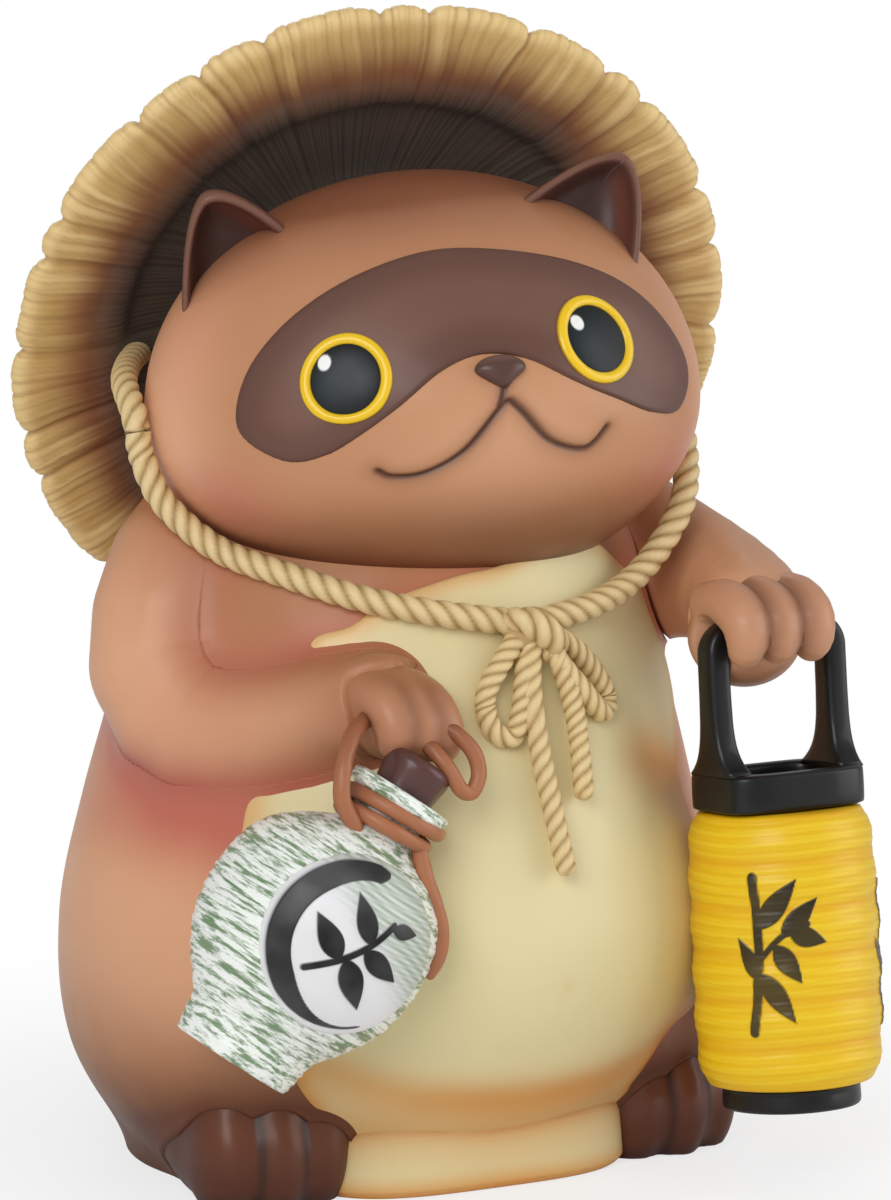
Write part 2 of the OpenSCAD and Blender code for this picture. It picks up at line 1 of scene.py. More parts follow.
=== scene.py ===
import bpy
import numpy as np
from mathutils import Matrix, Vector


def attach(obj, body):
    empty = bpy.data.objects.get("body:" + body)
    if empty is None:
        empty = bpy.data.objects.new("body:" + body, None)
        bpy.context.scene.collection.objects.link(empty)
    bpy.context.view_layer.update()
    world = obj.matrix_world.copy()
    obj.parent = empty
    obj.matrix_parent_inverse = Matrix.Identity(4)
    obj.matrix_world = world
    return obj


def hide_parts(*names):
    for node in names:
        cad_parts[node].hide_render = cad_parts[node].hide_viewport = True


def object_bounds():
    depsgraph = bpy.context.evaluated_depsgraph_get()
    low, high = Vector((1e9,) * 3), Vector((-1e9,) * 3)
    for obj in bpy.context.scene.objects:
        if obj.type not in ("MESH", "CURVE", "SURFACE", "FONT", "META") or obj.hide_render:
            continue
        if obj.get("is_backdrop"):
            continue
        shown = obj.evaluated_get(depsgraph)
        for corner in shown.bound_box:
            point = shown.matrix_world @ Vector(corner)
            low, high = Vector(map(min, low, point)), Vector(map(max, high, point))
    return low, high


# A tanuki ornament in painted cast resin: a hollow figure with a straw hat on its back, a jug in
# its right paw and a lantern that swings from its left. Lengths are in millimetres, as in the
# part's source, and become metres only where a mesh is made. -Y is the front, +Z is up.
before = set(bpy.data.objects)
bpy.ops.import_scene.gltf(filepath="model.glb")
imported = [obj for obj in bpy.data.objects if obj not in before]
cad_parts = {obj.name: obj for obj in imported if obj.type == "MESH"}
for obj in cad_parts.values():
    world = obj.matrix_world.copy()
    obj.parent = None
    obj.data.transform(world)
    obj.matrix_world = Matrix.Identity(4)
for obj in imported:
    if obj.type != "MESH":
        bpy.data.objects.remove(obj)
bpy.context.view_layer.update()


# Camera: it stands 1.8 m off, 28 degrees to the figure's right and 10 degrees above it.
# The lens is long, so the figure shows little perspective. The three rows are its axes.
aim = np.array([13.7, -7.3, 140.6]) / 1000
cam_right, cam_up, cam_back = [0.8829, -0.4695, 0.0], [0.0815, 0.1533, 0.9848], [-0.4623, -0.8695, 0.1736]
lens = bpy.data.cameras.new("photo_camera")
lens.lens = 7020 / 1200 * 36
lens.sensor_width = 36
camera = bpy.data.objects.new("photo_camera", lens)
camera.matrix_world = Matrix([
    [cam_right[i], cam_up[i], cam_back[i], aim[i] + 1.8 * cam_back[i]] for i in range(3)]
    + [[0, 0, 0, 1]])
bpy.context.scene.collection.objects.link(camera)
bpy.context.scene.camera = camera
bpy.context.scene.view_settings.view_transform = "Standard"


# Light: a wide soft box in front on each side, one behind for the rims, and an even white room.
# Together they bring a plain colour out at about its own brightness.
def soft_box(name, place, size, watts):
    """A square area lamp at place, turned towards the middle of the figure."""
    lamp = bpy.data.lights.new(name, "AREA")
    lamp.size = size
    lamp.energy = watts
    box = bpy.data.objects.new(name, lamp)
    back = np.array(place) - [0, 0, 0.13]
    back = back / np.linalg.norm(back)
    side = np.cross([0, 0, 1], back)
    side = side / np.linalg.norm(side)
    rise = np.cross(back, side)
    box.matrix_world = Matrix([[side[i], rise[i], back[i], place[i]] for i in range(3)] + [[0, 0, 0, 1]])
    bpy.context.scene.collection.objects.link(box)


soft_box("key_box", (-1.0, -1.05, 0.9), 0.9, 12.0)
soft_box("fill_box", (1.15, -0.75, 0.45), 1.0, 6.4)
soft_box("back_box", (0.2, 1.2, 0.9), 0.9, 4.0)

room = bpy.data.worlds.new("white_room")
room.use_nodes = True
room_nodes, room_links = room.node_tree.nodes, room.node_tree.links
room_light = room_nodes["Background"]
room_light.inputs["Color"].default_value = (1, 1, 1, 1)
room_light.inputs["Strength"].default_value = 0.42
room_white = room_nodes.new("ShaderNodeBackground")
room_white.inputs["Color"].default_value = (1, 1, 1, 1)
room_mix = room_nodes.new("ShaderNodeMixShader")
room_ray = room_nodes.new("ShaderNodeLightPath")
room_links.new(room_ray.outputs["Is Camera Ray"], room_mix.inputs[0])
room_links.new(room_light.outputs[0], room_mix.inputs[1])
room_links.new(room_white.outputs[0], room_mix.inputs[2])
room_links.new(room_mix.outputs[0], room_nodes["World Output"].inputs["Surface"])
bpy.context.scene.world = room


# Floor: a matt white table top of painted board, which the figure only stands on. It fades into
# the white room further out and keeps the figure's soft shadow.
angle = np.linspace(0, 2 * np.pi, 65)[:-1]
floor_verts = np.stack([3 * np.cos(angle), 3 * np.sin(angle), 0 * angle - 0.0002], 1)
floor_mesh = bpy.data.meshes.new("table_top")
floor_mesh.from_pydata(floor_verts.tolist(), [], [list(range(64))])
floor = bpy.data.objects.new("table_top", floor_mesh)
bpy.context.scene.collection.objects.link(floor)
floor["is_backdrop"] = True
top_paint = bpy.data.materials.new("table_white")
top_paint.use_nodes = True
top_nodes, top_links = top_paint.node_tree.nodes, top_paint.node_tree.links
top_base = top_nodes["Principled BSDF"]
top_base.inputs["Base Color"].default_value = (0.86, 0.86, 0.86, 1)
top_base.inputs["Roughness"].default_value = 0.8
top_glow = top_nodes.new("ShaderNodeEmission")
top_glow.inputs["Strength"].default_value = 1.0
top_where = top_nodes.new("ShaderNodeTexCoord")
top_far = top_nodes.new("ShaderNodeVectorMath")
top_far.operation = "LENGTH"
top_fade = top_nodes.new("ShaderNodeMapRange")
top_fade.interpolation_type = "SMOOTHSTEP"
top_fade.inputs["From Min"].default_value = 0.07
top_fade.inputs["From Max"].default_value = 0.26
top_fade.inputs["To Min"].default_value = 0.72
top_seen = top_nodes.new("ShaderNodeMath")
top_seen.operation = "MULTIPLY"
top_ray = top_nodes.new("ShaderNodeLightPath")
top_mix = top_nodes.new("ShaderNodeMixShader")
top_links.new(top_where.outputs["Object"], top_far.inputs[0])
top_links.new(top_far.outputs["Value"], top_fade.inputs["Value"])
top_links.new(top_fade.outputs["Result"], top_seen.inputs[0])
top_links.new(top_ray.outputs["Is Camera Ray"], top_seen.inputs[1])
top_links.new(top_seen.outputs[0], top_mix.inputs[0])
top_links.new(top_base.outputs[0], top_mix.inputs[1])
top_links.new(top_glow.outputs[0], top_mix.inputs[2])
top_links.new(top_mix.outputs[0], top_nodes["Material Output"].inputs["Surface"])
floor_mesh.materials.append(top_paint)


# Trunk form: the torso and its two haunches, which the limbs grow out of. It is only worked out
# here, as a distance field, because the limbs have to melt into it. Its skin is made further on.
body_w, body_front, body_back, body_h = 172, 85, 76, 186
width_share = [0.80, 0.97, 1, 0.93, 0.85, 0.74, 0.52]
front_share = [0.58, 0.88, 1.01, 0.93, 0.80, 0.67, 0.48]
back_share = [0.84, 1, 1.02, 0.92, 0.66, 0.48, 0.34]


def along(rows, s):
    """Rows at fractional indices s: each stretch is the cubic through two rows whose slope at each is
    half the difference of that row's neighbours."""
    rows = np.asarray(rows, float)
    last = len(rows) - 1
    i = np.clip(np.floor(s).astype(int), 0, last - 1)
    t = s - i
    if rows.ndim > 1:
        t = t[..., None]
    a, b, c, d = rows[np.maximum(i - 1, 0)], rows[i], rows[i + 1], rows[np.minimum(i + 2, last)]
    return 0.5 * (2 * b + (c - a) * t + (2 * a - 5 * b + 4 * c - d) * t**2
        + (3 * b - a - 3 * c + d) * t**3)


def torso(p):
    """Distance from the torso, along the radius: the radius times one minus one over the superellipse
    norm of x and y in the half width and front or back reach at that height."""
    s = np.clip(p[:, 2] / body_h * 6, 0, 6)
    wide = body_w / 2 * along(width_share, s)
    deep = np.where(p[:, 1] < 0, body_front * along(front_share, s), body_back * along(back_share, s))
    q = 2 / 1.03
    e = (np.abs(p[:, 0]) / wide) ** q + (np.abs(p[:, 1]) / deep) ** q
    reach = np.hypot(p[:, 0], p[:, 1])
    return reach - reach / np.maximum(e, 1e-4) ** (1 / q)


def egg(p, middle, radii):
    """Distance from an ellipsoid: the scaled length times itself less one, over the length scaled by
    the squared radii."""
    local = p - np.array(middle)
    one = np.linalg.norm(local / radii, axis=1)
    two = np.linalg.norm(local / np.square(radii), axis=1)
    return one * (one - 1) / np.maximum(two, 1e-6)


def melt(fields, soft):
    """Blends distances into one: minus soft times the log of the sum of exp of each distance over
    minus soft."""
    fields = np.array(fields)
    low = fields.min(0)
    return low - soft * np.log(np.exp((low - fields) / soft).sum(0))


def trunk(p):
    """Distance from the torso with its two haunches melted in."""
    haunches = [egg(p, [side * body_w * 0.32, -12, 44], [body_w * 0.19, 46, 40]) for side in (-1, 1)]
    return melt([torso(p)] + haunches, 2.5)


def ramp(x, low, high):
    """0 below low, 1 above high and the smooth cubic 3 t squared less 2 t cubed between."""
    t = np.clip((x - low) / (high - low), 0, 1)
    return t * t * (3 - 2 * t)


# Right arm: it comes down from the shoulder and bends at the elbow to hold the jug out in front.
# It is cast in one with the trunk, so its root melts into the body's skin.
right_arm_rows = [[-42, 8, 168, 15], [-58, 0, 154, 18], [-68, -8, 131, 17.5], [-64, -24, 118, 15],
    [-54, -42, 119, 13], [-43, -54, 124, 12], [-35, -61, 127, 11]]


def rod(p, rows):
    """Distance from a chain of round rods through rows of x, y, z and radius: for each stretch, the
    distance to its nearest axis point less the radius there, and the least of them."""
    best = np.full(len(p), 1e9)
    for a, b in zip(rows[:-1], rows[1:]):
        run = b[:3] - a[:3]
        t = np.clip((p - a[:3]) @ run / (run @ run), 0, 1)
        away = np.linalg.norm(p - a[:3] - t[:, None] * run, axis=1)
        best = np.minimum(best, away - a[3] - t * (b[3] - a[3]))
    return best


def fine(rows, per):
    """The rows with per steps between each two, on the smooth curve through them."""
    return along(rows, np.linspace(0, len(rows) - 1, (len(rows) - 1) * per + 1))


def tube(rows, side, cols, bumps=None, ease=0):
    """Rings round a curve: each row's middle plus its radius times cos u and sin v, where u is square
    to the curve and to side. Both ends close in a dome. bumps gives the radius a factor from the angle
    and the length run. ease takes the curve's direction as a mean over that many rows each way, so
    that rings of a sharp bend don't cross."""
    rows = np.asarray(rows, float)
    ahead = np.gradient(rows[:, :3], axis=0)
    if ease:
        padded = np.vstack([np.repeat(ahead[:1], ease, 0), ahead, np.repeat(ahead[-1:], ease, 0)])
        summed = np.vstack([np.zeros((1, 3)), np.cumsum(padded, 0)])
        ahead = (summed[2 * ease + 1:] - summed[:-2 * ease - 1]) / (2 * ease + 1)
    ahead /= np.linalg.norm(ahead, axis=1)[:, None]
    dome = np.linspace(1.35, 0.2, 7)[:, None]
    head = np.hstack([rows[:1, :3] - ahead[:1] * rows[0, 3] * np.sin(dome), rows[0, 3] * np.cos(dome)])
    foot = np.hstack([rows[-1:, :3] + ahead[-1:] * rows[-1, 3] * np.sin(dome[::-1]),
        rows[-1, 3] * np.cos(dome[::-1])])
    rows = np.vstack([head, rows, foot])
    ahead = np.vstack([np.repeat(ahead[:1], 7, 0), ahead, np.repeat(ahead[-1:], 7, 0)])
    u = np.cross(ahead, side)
    u /= np.linalg.norm(u, axis=1)[:, None]
    v = np.cross(ahead, u)
    turn = np.linspace(0, 2 * np.pi, cols + 1)[None, :-1, None]
    run = np.concatenate([[0], np.cumsum(np.linalg.norm(np.diff(rows[:, :3], axis=0), axis=1))])
    radius = rows[:, 3, None, None]
    if bumps is not None:
        radius = radius * bumps(turn[0, :, 0][None, :], run[:, None])[:, :, None]
    return rows[:, None, :3] + radius * (np.cos(turn) * u[:, None] + np.sin(turn) * v[:, None])


def globe(middle, radii, rows, cols):
    """Rings round an ellipsoid from its lower pole to its upper one."""
    up = np.linspace(-np.pi / 2, np.pi / 2, rows + 2)[1:-1, None, None]
    turn = np.linspace(0, 2 * np.pi, cols + 1)[None, :-1, None]
    ring = np.concatenate([np.cos(up) * np.cos(turn), np.cos(up) * np.sin(turn), np.sin(up) + 0 * turn],
        2)
    return ring * radii + middle


def settle(rings, own, other, soft, depth=2.5):
    """Moves a form's points onto the skin where it melts into its neighbours: Newton steps down the
    gradient of the melted distance, fading out where a neighbour already covers the point."""
    p = rings.reshape(-1, 3).copy()
    weight = ramp(other(p) - own(p), -depth, 0)
    active = weight > 0

    def both(x):
        return melt([own(x), other(x)], soft)

    for step in range(4):
        q = p[active]
        f = both(q)
        grad = np.stack([(both(q + np.eye(3)[k] * 0.05) - f) / 0.05 for k in range(3)], 1)
        size = np.maximum((grad**2).sum(1), 0.2)
        move = np.clip(f / size, -1.5, 1.5) * weight[active]
        p[active] = q - move[:, None] * grad
    return p.reshape(rings.shape)


def closed_skin(rings):
    """Points and faces of a closed surface: rows of rings joined by quads, with each end ring fanned
    to its middle, and turned outwards by the sign of its volume."""
    rows, cols = rings.shape[:2]
    count = rows * cols
    points = np.vstack([rings.reshape(-1, 3), rings[0].mean(0), rings[-1].mean(0)])
    i = np.arange(rows - 1)[:, None] * cols
    j = np.arange(cols)
    k = (j + 1) % cols
    quads = np.stack([i + j, i + k, i + cols + k, i + cols + j], -1).reshape(-1, 4)
    low = np.stack([0 * j + count, k, j], 1)
    high = np.stack([0 * j + count + 1, count - cols + j, count - cols + k], 1)
    caps = np.vstack([low, high])
    flat = np.vstack([quads[:, :3], quads[:, [0, 2, 3]], caps])
    a, b, c = points[flat[:, 0]], points[flat[:, 1]], points[flat[:, 2]]
    if (a * np.cross(b, c)).sum() < 0:
        quads, caps = quads[:, ::-1], caps[:, ::-1]
    return points, quads, caps


def put_piece(name, shells, paint, nodes, body="figure", marks=None):
    """Makes one object of closed skins in metres, with its material and its point attributes, hangs it
    on its body and lets it stand for its CAD nodes."""
    points, faces, base = [], [], 0
    for verts, quads, caps in shells:
        points.append(verts)
        faces += (quads + base).tolist() + (caps + base).tolist()
        base += len(verts)
    points = np.vstack(points)
    mesh = bpy.data.meshes.new(name)
    mesh.from_pydata((points / 1000).tolist(), [], faces)
    mesh.shade_smooth()
    for mark, values in (marks or {}).items():
        values = values(points) if callable(values) else values
        mesh.attributes.new(mark, "FLOAT", "POINT").data.foreach_set("value",
            np.asarray(values, np.float32))
    mesh.materials.append(paint)
    thing = bpy.data.objects.new(name, mesh)
    bpy.context.scene.collection.objects.link(thing)
    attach(thing, body)
    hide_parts(*nodes)
    return thing


def tint(red, green, blue):
    """A colour as the eye reads it, 0 to 255, as the shader's linear values."""
    c = np.array([red, green, blue]) / 255
    c = np.where(c > 0.04045, ((c + 0.055) / 1.055) ** 2.4, c / 12.92)
    return (*c.tolist(), 1)


def cast_skin_group():
    """The surface of a painted casting: a low swell, fine pits and a patchy sheen, from three noises
    on Object coordinates. Puts out a height, a patch mask and a sheen value."""
    group = bpy.data.node_groups.new("cast_skin", "ShaderNodeTree")
    socket = group.interface.new_socket
    socket("Fineness", in_out="INPUT", socket_type="NodeSocketFloat").default_value = 1
    for name in ("Height", "Patch", "Sheen"):
        socket(name, in_out="OUTPUT", socket_type="NodeSocketFloat")
    nodes, links = group.nodes, group.links
    inlet, outlet = nodes.new("NodeGroupInput"), nodes.new("NodeGroupOutput")
    where = nodes.new("ShaderNodeTexCoord")
    found = {}
    for name, scale, detail in (("swell", 55, 3), ("pits", 900, 2), ("patch", 28, 4)):
        size = nodes.new("ShaderNodeMath")
        size.operation = "MULTIPLY"
        size.inputs[1].default_value = scale
        noise = nodes.new("ShaderNodeTexNoise")
        noise.inputs["Detail"].default_value = detail
        links.new(inlet.outputs["Fineness"], size.inputs[0])
        links.new(size.outputs[0], noise.inputs["Scale"])
        links.new(where.outputs["Object"], noise.inputs["Vector"])
        found[name] = noise.outputs["Fac"]
    height = nodes.new("ShaderNodeMath")
    height.operation = "MULTIPLY_ADD"
    height.inputs[1].default_value = 0.12
    links.new(found["pits"], height.inputs[0])
    links.new(found["swell"], height.inputs[2])
    sheen = nodes.new("ShaderNodeMapRange")
    sheen.inputs["From Min"].default_value = 0.3
    sheen.inputs["From Max"].default_value = 0.7
    sheen.inputs["To Min"].default_value = 0.34
    sheen.inputs["To Max"].default_value = 0.5
    links.new(found["swell"], sheen.inputs["Value"])
    links.new(height.outputs[0], outlet.inputs["Height"])
    links.new(found["patch"], outlet.inputs["Patch"])
    links.new(sheen.outputs[0], outlet.inputs["Sheen"])
    return group


cast_skin = cast_skin_group()


def sprayed_paint(name, base, layers, bump=0.05, bump_mm=0.5, fineness=1.0, coat=0.12, mottle=0.35,
    blotch=None):
    """A sprayed finish: the base colour, clouded by the casting's patches, then one colour for each
    point attribute in layers, laid over it in turn by that attribute and thinned by the patches."""
    paint = bpy.data.materials.new(name)
    paint.use_nodes = True
    nodes, links = paint.node_tree.nodes, paint.node_tree.links
    shader = nodes["Principled BSDF"]
    shader.inputs["Coat Weight"].default_value = coat
    shader.inputs["Coat Roughness"].default_value = 0.22
    shader.inputs["Specular IOR Level"].default_value = 0.3
    skin = nodes.new("ShaderNodeGroup")
    skin.node_tree = cast_skin
    skin.inputs["Fineness"].default_value = fineness
    clouds = nodes.new("ShaderNodeMix")
    clouds.data_type = "RGBA"
    clouds.inputs["A"].default_value = tint(*base)
    clouds.inputs["B"].default_value = tint(*(blotch or [c * 0.9 for c in base]))
    spread = nodes.new("ShaderNodeMapRange")
    spread.inputs["From Min"].default_value = 0.35
    spread.inputs["From Max"].default_value = 0.75
    spread.inputs["To Max"].default_value = mottle
    links.new(skin.outputs["Patch"], spread.inputs["Value"])
    links.new(spread.outputs[0], clouds.inputs["Factor"])
    colour = clouds.outputs["Result"]
    for mark, shade in layers:
        read = nodes.new("ShaderNodeAttribute")
        read.attribute_name = mark
        thin = nodes.new("ShaderNodeMapRange")
        thin.inputs["From Min"].default_value = 0.2
        thin.inputs["From Max"].default_value = 0.55
        thin.inputs["To Min"].default_value = 0.85
        thin.inputs["To Max"].default_value = 1
        amount = nodes.new("ShaderNodeMath")
        amount.operation = "MULTIPLY"
        amount.use_clamp = True
        over = nodes.new("ShaderNodeMix")
        over.data_type = "RGBA"
        over.inputs["B"].default_value = tint(*shade)
        links.new(skin.outputs["Patch"], thin.inputs["Value"])
        links.new(thin.outputs[0], amount.inputs[0])
        links.new(read.outputs["Fac"], amount.inputs[1])
        links.new(amount.outputs[0], over.inputs["Factor"])
        links.new(colour, over.inputs["A"])
        colour = over.outputs["Result"]
    links.new(colour, shader.inputs["Base Color"])
    links.new(skin.outputs["Sheen"], shader.inputs["Roughness"])
    relief = nodes.new("ShaderNodeBump")
    relief.inputs["Strength"].default_value = bump
    relief.inputs["Distance"].default_value = bump_mm / 1000
    links.new(skin.outputs["Height"], relief.inputs["Height"])
    links.new(relief.outputs["Normal"], shader.inputs["Normal"])
    return paint


# Fur layers: pale is a painted highlight, shade mostly painted shade, blush a pink tint and line a dark
# painted line.
fur_paint = sprayed_paint("brown_fur_spray", (182, 126, 84), [
    ("pale", (240, 184, 146)), ("blush", (200, 112, 92)), ("shade", (98, 52, 28)),
    ("line", (60, 26, 16))], blotch=(164, 107, 68))

right_arm_fine = fine(right_arm_rows, 8)
limb_soft = 4.2


def right_arm(p):
    """Distance from the right arm."""
    return rod(p, right_arm_fine[::4])


right_paw_eggs = [([-32, -68, 125], [12, 10, 11])]
right_finger_rows = [fine([[-40 + 7 * i, -67, 131 - i, 4.4], [-40 + 7 * i, -76, 130 - i, 4.8],
    [-39 + 7 * i, -80, 124.5 - i, 4.7], [-38.5 + 6.8 * i, -79, 120.5 - i, 4]], 8) for i in range(3)]
right_paw_parts = [lambda p: egg(p, *right_paw_eggs[0])] + [
    lambda p, rows=rows: rod(p, rows[::3]) for rows in right_finger_rows]


paw_soft = 1.7


def right_paw(p):
    """Distance from the paw and its three fingers, melted with small creases left between them."""
    return melt([part(p) for part in right_paw_parts], paw_soft)


left_arm_rows = [[46, 8, 164, 15], [60, -4, 157, 18], [71, -22, 149, 17], [75, -42, 145, 15],
    [73, -58, 143.5, 13.5], [70.5, -67, 142, 12.5]]
left_arm_fine = fine(left_arm_rows, 8)


def left_arm(p):
    """Distance from the left arm."""
    return rod(p, left_arm_fine[::4])


def fur_marks(p):
    """The fur's marks: a pink tint where limbs meet the trunk and under the right arm, painted shade
    towards the floor, in the creases and on the left arm, a darker brown towards the right paw, and a
    painted highlight on the outer swells."""
    near_right, near_left, near_trunk = right_arm(p), left_arm(p), trunk(p)
    below = ramp(-p[:, 2], -150, -112)
    crease = np.exp(-np.square(np.abs(near_right) + np.abs(near_trunk)) / 90)
    crease_left = np.exp(-np.square(np.abs(near_left) + np.abs(near_trunk)) / 90)
    deep_crease = np.exp(-np.square(np.abs(near_right) + np.abs(near_trunk)) / 14)
    deep_left = np.exp(-np.square(np.abs(near_left) + np.abs(near_trunk)) / 14)
    under = np.exp(-np.square(np.maximum(near_right, 0) / 17)) * below * ramp(near_right, 0, 3)
    blush = 0.55 * crease + 0.5 * crease_left + 0.8 * under
    blush += 0.3 * np.exp(-np.square((p[:, 2] - 92) / 9)) * ramp(-p[:, 0], 30, 60)
    # Painted shade: darker towards the floor and on the left arm.
    floor_shade = 0.75 * ramp(-p[:, 2], -40, -2) + 0.2 * ramp(-p[:, 2], -80, -35)
    floor_shade += 0.28 * ramp(p[:, 0], 52, 72) * ramp(p[:, 2], 118, 138)
    # Painted highlight on the outer swells.
    pale = 0.75 * ramp(np.hypot(p[:, 0], p[:, 1]), 62, 86) * ramp(p[:, 2], 20, 60)
    hand = np.exp(-np.maximum(egg(p, *right_paw_eggs[0]), 0) / 16)
    # Painted shade in the creases where the arms meet the trunk; the hand term is the paw's darker brown.
    shade = floor_shade + 0.15 * crease + 0.5 * np.maximum(deep_crease, deep_left) + 0.24 * hand
    return {"blush": np.clip(blush * (1 - 0.7 * hand), 0, 1), "shade": shade,
        "pale": pale * (1 - deep_crease) * (1 - 0.8 * hand), "line": 0 * blush}


def mark_set(rule, *names):
    """One function for each named mark of a painting rule, for put_piece."""
    return {name: (lambda p, name=name: rule(p)[name]) for name in names}


fur_names = ("pale", "blush", "shade", "line")
arm_rings = tube(fine(right_arm_rows, 16), [0, 1, 0.4], 200, ease=28)
arm_rings = settle(arm_rings, right_arm, lambda p: melt([trunk(p), right_paw(p)], 1), limb_soft)
put_piece("right_arm_cast", [closed_skin(arm_rings)], fur_paint, ["right_arm"],
    marks=mark_set(fur_marks, *fur_names))


# Right paw: a small round hand with three blunt fingers that curl over the jug's loop of cord.
# It is cast in one with the arm, and its creases are only darkened in colour: a brown line and painted
# shade.
def rest_of(parts, own, extra, soft):
    """The distance from every part but one, and from the neighbours in extra."""
    others = [part for k, part in enumerate(parts) if k != own] + extra
    return lambda p: melt([part(p) for part in others], soft)


def paw_marks(p):
    """The fur's marks, with a brown line and painted shade in the creases between the fingers."""
    marks = fur_marks(p)
    gaps = np.sort([np.abs(part(p)) for part in right_paw_parts[1:]], axis=0)
    marks["line"] = 0.55 * np.exp(-np.square((gaps[0] + gaps[1] - 1) / 1.6))
    # Painted shade deepens the creases between the fingers.
    marks["shade"] = marks["shade"] + 0.3 * np.exp(-np.square((gaps[0] + gaps[1]) / 5))
    return marks


paw_shells = []
for k, rings in enumerate([globe(*right_paw_eggs[0], 60, 90)]
    + [tube(rows, [1, 0, 0], 48) for rows in right_finger_rows]):
    rings = settle(rings, right_paw_parts[k], rest_of(right_paw_parts, k, [right_arm], paw_soft),
        paw_soft, 4)
    paw_shells.append(closed_skin(rings))
put_piece("right_paw_cast", paw_shells, fur_paint, ["right_paw"],
    marks=mark_set(paw_marks, *fur_names))


# Left arm: it reaches forward from the shoulder to the paw that the lantern hangs from. It is cast
# resin, in one with the trunk, and its root melts into the shoulder.
fist_at, fist_size = [66, -70, 137], [15, 13, 13]


def fist(p):
    """Distance from the left paw."""
    return egg(p, fist_at, fist_size)


arm_rings = settle(tube(fine(left_arm_rows, 14), [0, 0, 1], 170), left_arm,
    lambda p: melt([trunk(p), fist(p)], 1), limb_soft)
put_piece("left_arm_cast", [closed_skin(arm_rings)], fur_paint, ["left_arm"],
    marks=mark_set(fur_marks, *fur_names))


# Left paw: a fist round the lantern's bar, with three knuckled fingers over the front of it. The
# bar's ends and posts run clear of it, so the lantern can swing forward and back.
bar_at, post_x, post_w, post_d = np.array([70.5, -75.0, 139.0]), 17, 6.5, 8.0
fist_finger_rows = [fine(np.array([[0, 6, 7.1, 5.4], [0, -3, 8.2, 6], [0, -10.4, 5.3, 6],
    [0, -12.4, 0.3, 5.3], [0, -11.1, -2.9, 4.2]])
    + [66 + 9.6 * i, -75, 139, 0], 8) for i in (-1, 0, 1)]
fist_parts = [fist] + [lambda p, rows=rows: rod(p, rows[::3]) for rows in fist_finger_rows]


def clear_of_handle(rings):
    """Pushes points that lie in the room of the handle's two ends sideways to the middle, so that the
    paw stays between the posts."""
    p = rings - bar_at
    reach = np.hypot(p[..., 1], np.maximum(p[..., 2], 0))
    limit = post_x - post_w / 2 - 0.3
    wall = ramp(reach, post_d / 2 + 0.4, post_d / 2 + 1.2)
    held = np.clip(p[..., 0], -limit, limit)
    p[..., 0] = held * (1 - wall) + p[..., 0] * wall
    return p + bar_at


def fist_marks(p):
    """The fur's marks, with a brown line and painted shade in the creases between the fingers."""
    marks = fur_marks(p)
    gaps = np.sort([np.abs(part(p)) for part in fist_parts[1:]], axis=0)
    marks["line"] = 0.45 * np.exp(-np.square((gaps[0] + gaps[1]) / 1.2))
    # A darker brown over the paw, with painted shade in the finger creases and under the paw.
    marks["shade"] = (0.26 + 0.45 * np.exp(-np.square((gaps[0] + gaps[1]) / 4))
        + 0.4 * ramp(-p[:, 2], -133, -126))
    marks["blush"] = 0.12 + 0 * marks["blush"]
    return marks


rings = settle(globe(fist_at, fist_size, 64, 100), fist, rest_of(fist_parts, 0, [left_arm], 0.8), 0.8,
    1.5)
put_piece("left_paw_cast", [closed_skin(clear_of_handle(rings))], fur_paint, ["left_paw"],
    marks=mark_set(fist_marks, *fur_names))
finger_shells = []
for k, rows in enumerate(fist_finger_rows):
    rings = settle(tube(rows, [1, 0, 0], 48), fist_parts[k + 1],
        rest_of(fist_parts, k + 1, [left_arm], 0.8), 0.8, 1.5)
    finger_shells.append(closed_skin(clear_of_handle(rings)))
put_piece("left_fingers_cast", finger_shells, fur_paint, ["left_fingers"],
    marks=mark_set(fist_marks, *fur_names))


# Feet: two short dark feet with three rounded toes each, flat on the floor and half under the body.
# They are cast resin in one with the trunk and sprayed dark brown, with a painted highlight on the toes.
foot_w, foot_h = 42, 30


def foot(p, side):
    """Distance from a foot: an instep and three toes melted together, in the foot's own turned frame."""
    c, s = np.cos(np.radians(8)), np.sin(np.radians(8)) * side
    x, y = p[:, 0] - side * 55, p[:, 1] + 34
    q = np.stack([x * c + y * s, y * c - x * s, p[:, 2]], 1)
    toes = [egg(q, [toe * foot_w * 0.28, -14 + abs(toe) * 3, foot_h * 0.4],
        [foot_w * 0.2, 12, foot_h * 0.54]) for toe in (-1, 0, 1)]
    return melt([egg(q, [0, 3, foot_h * 0.4], [foot_w / 2, 25, foot_h * 0.6])] + toes, 1.8)


def star_skin(middle, field, rows, cols, reach):
    """Rings on a form seen from a point inside it: along each direction, halving steps find where the
    distance field turns positive."""
    up = np.linspace(-np.pi / 2, np.pi / 2, rows + 2)[1:-1, None, None]
    turn = np.linspace(0, 2 * np.pi, cols + 1)[None, :-1, None]
    way = np.concatenate([np.cos(up) * np.cos(turn), np.cos(up) * np.sin(turn), np.sin(up) + 0 * turn],
        2).reshape(-1, 3)
    low, high = np.zeros(len(way)), np.full(len(way), float(reach))
    for step in range(18):
        half = (low + high) / 2
        inside = field(middle + half[:, None] * way) < 0
        low, high = np.where(inside, half, low), np.where(inside, high, half)
    return (middle + low[:, None] * way).reshape(rows, cols, 3)
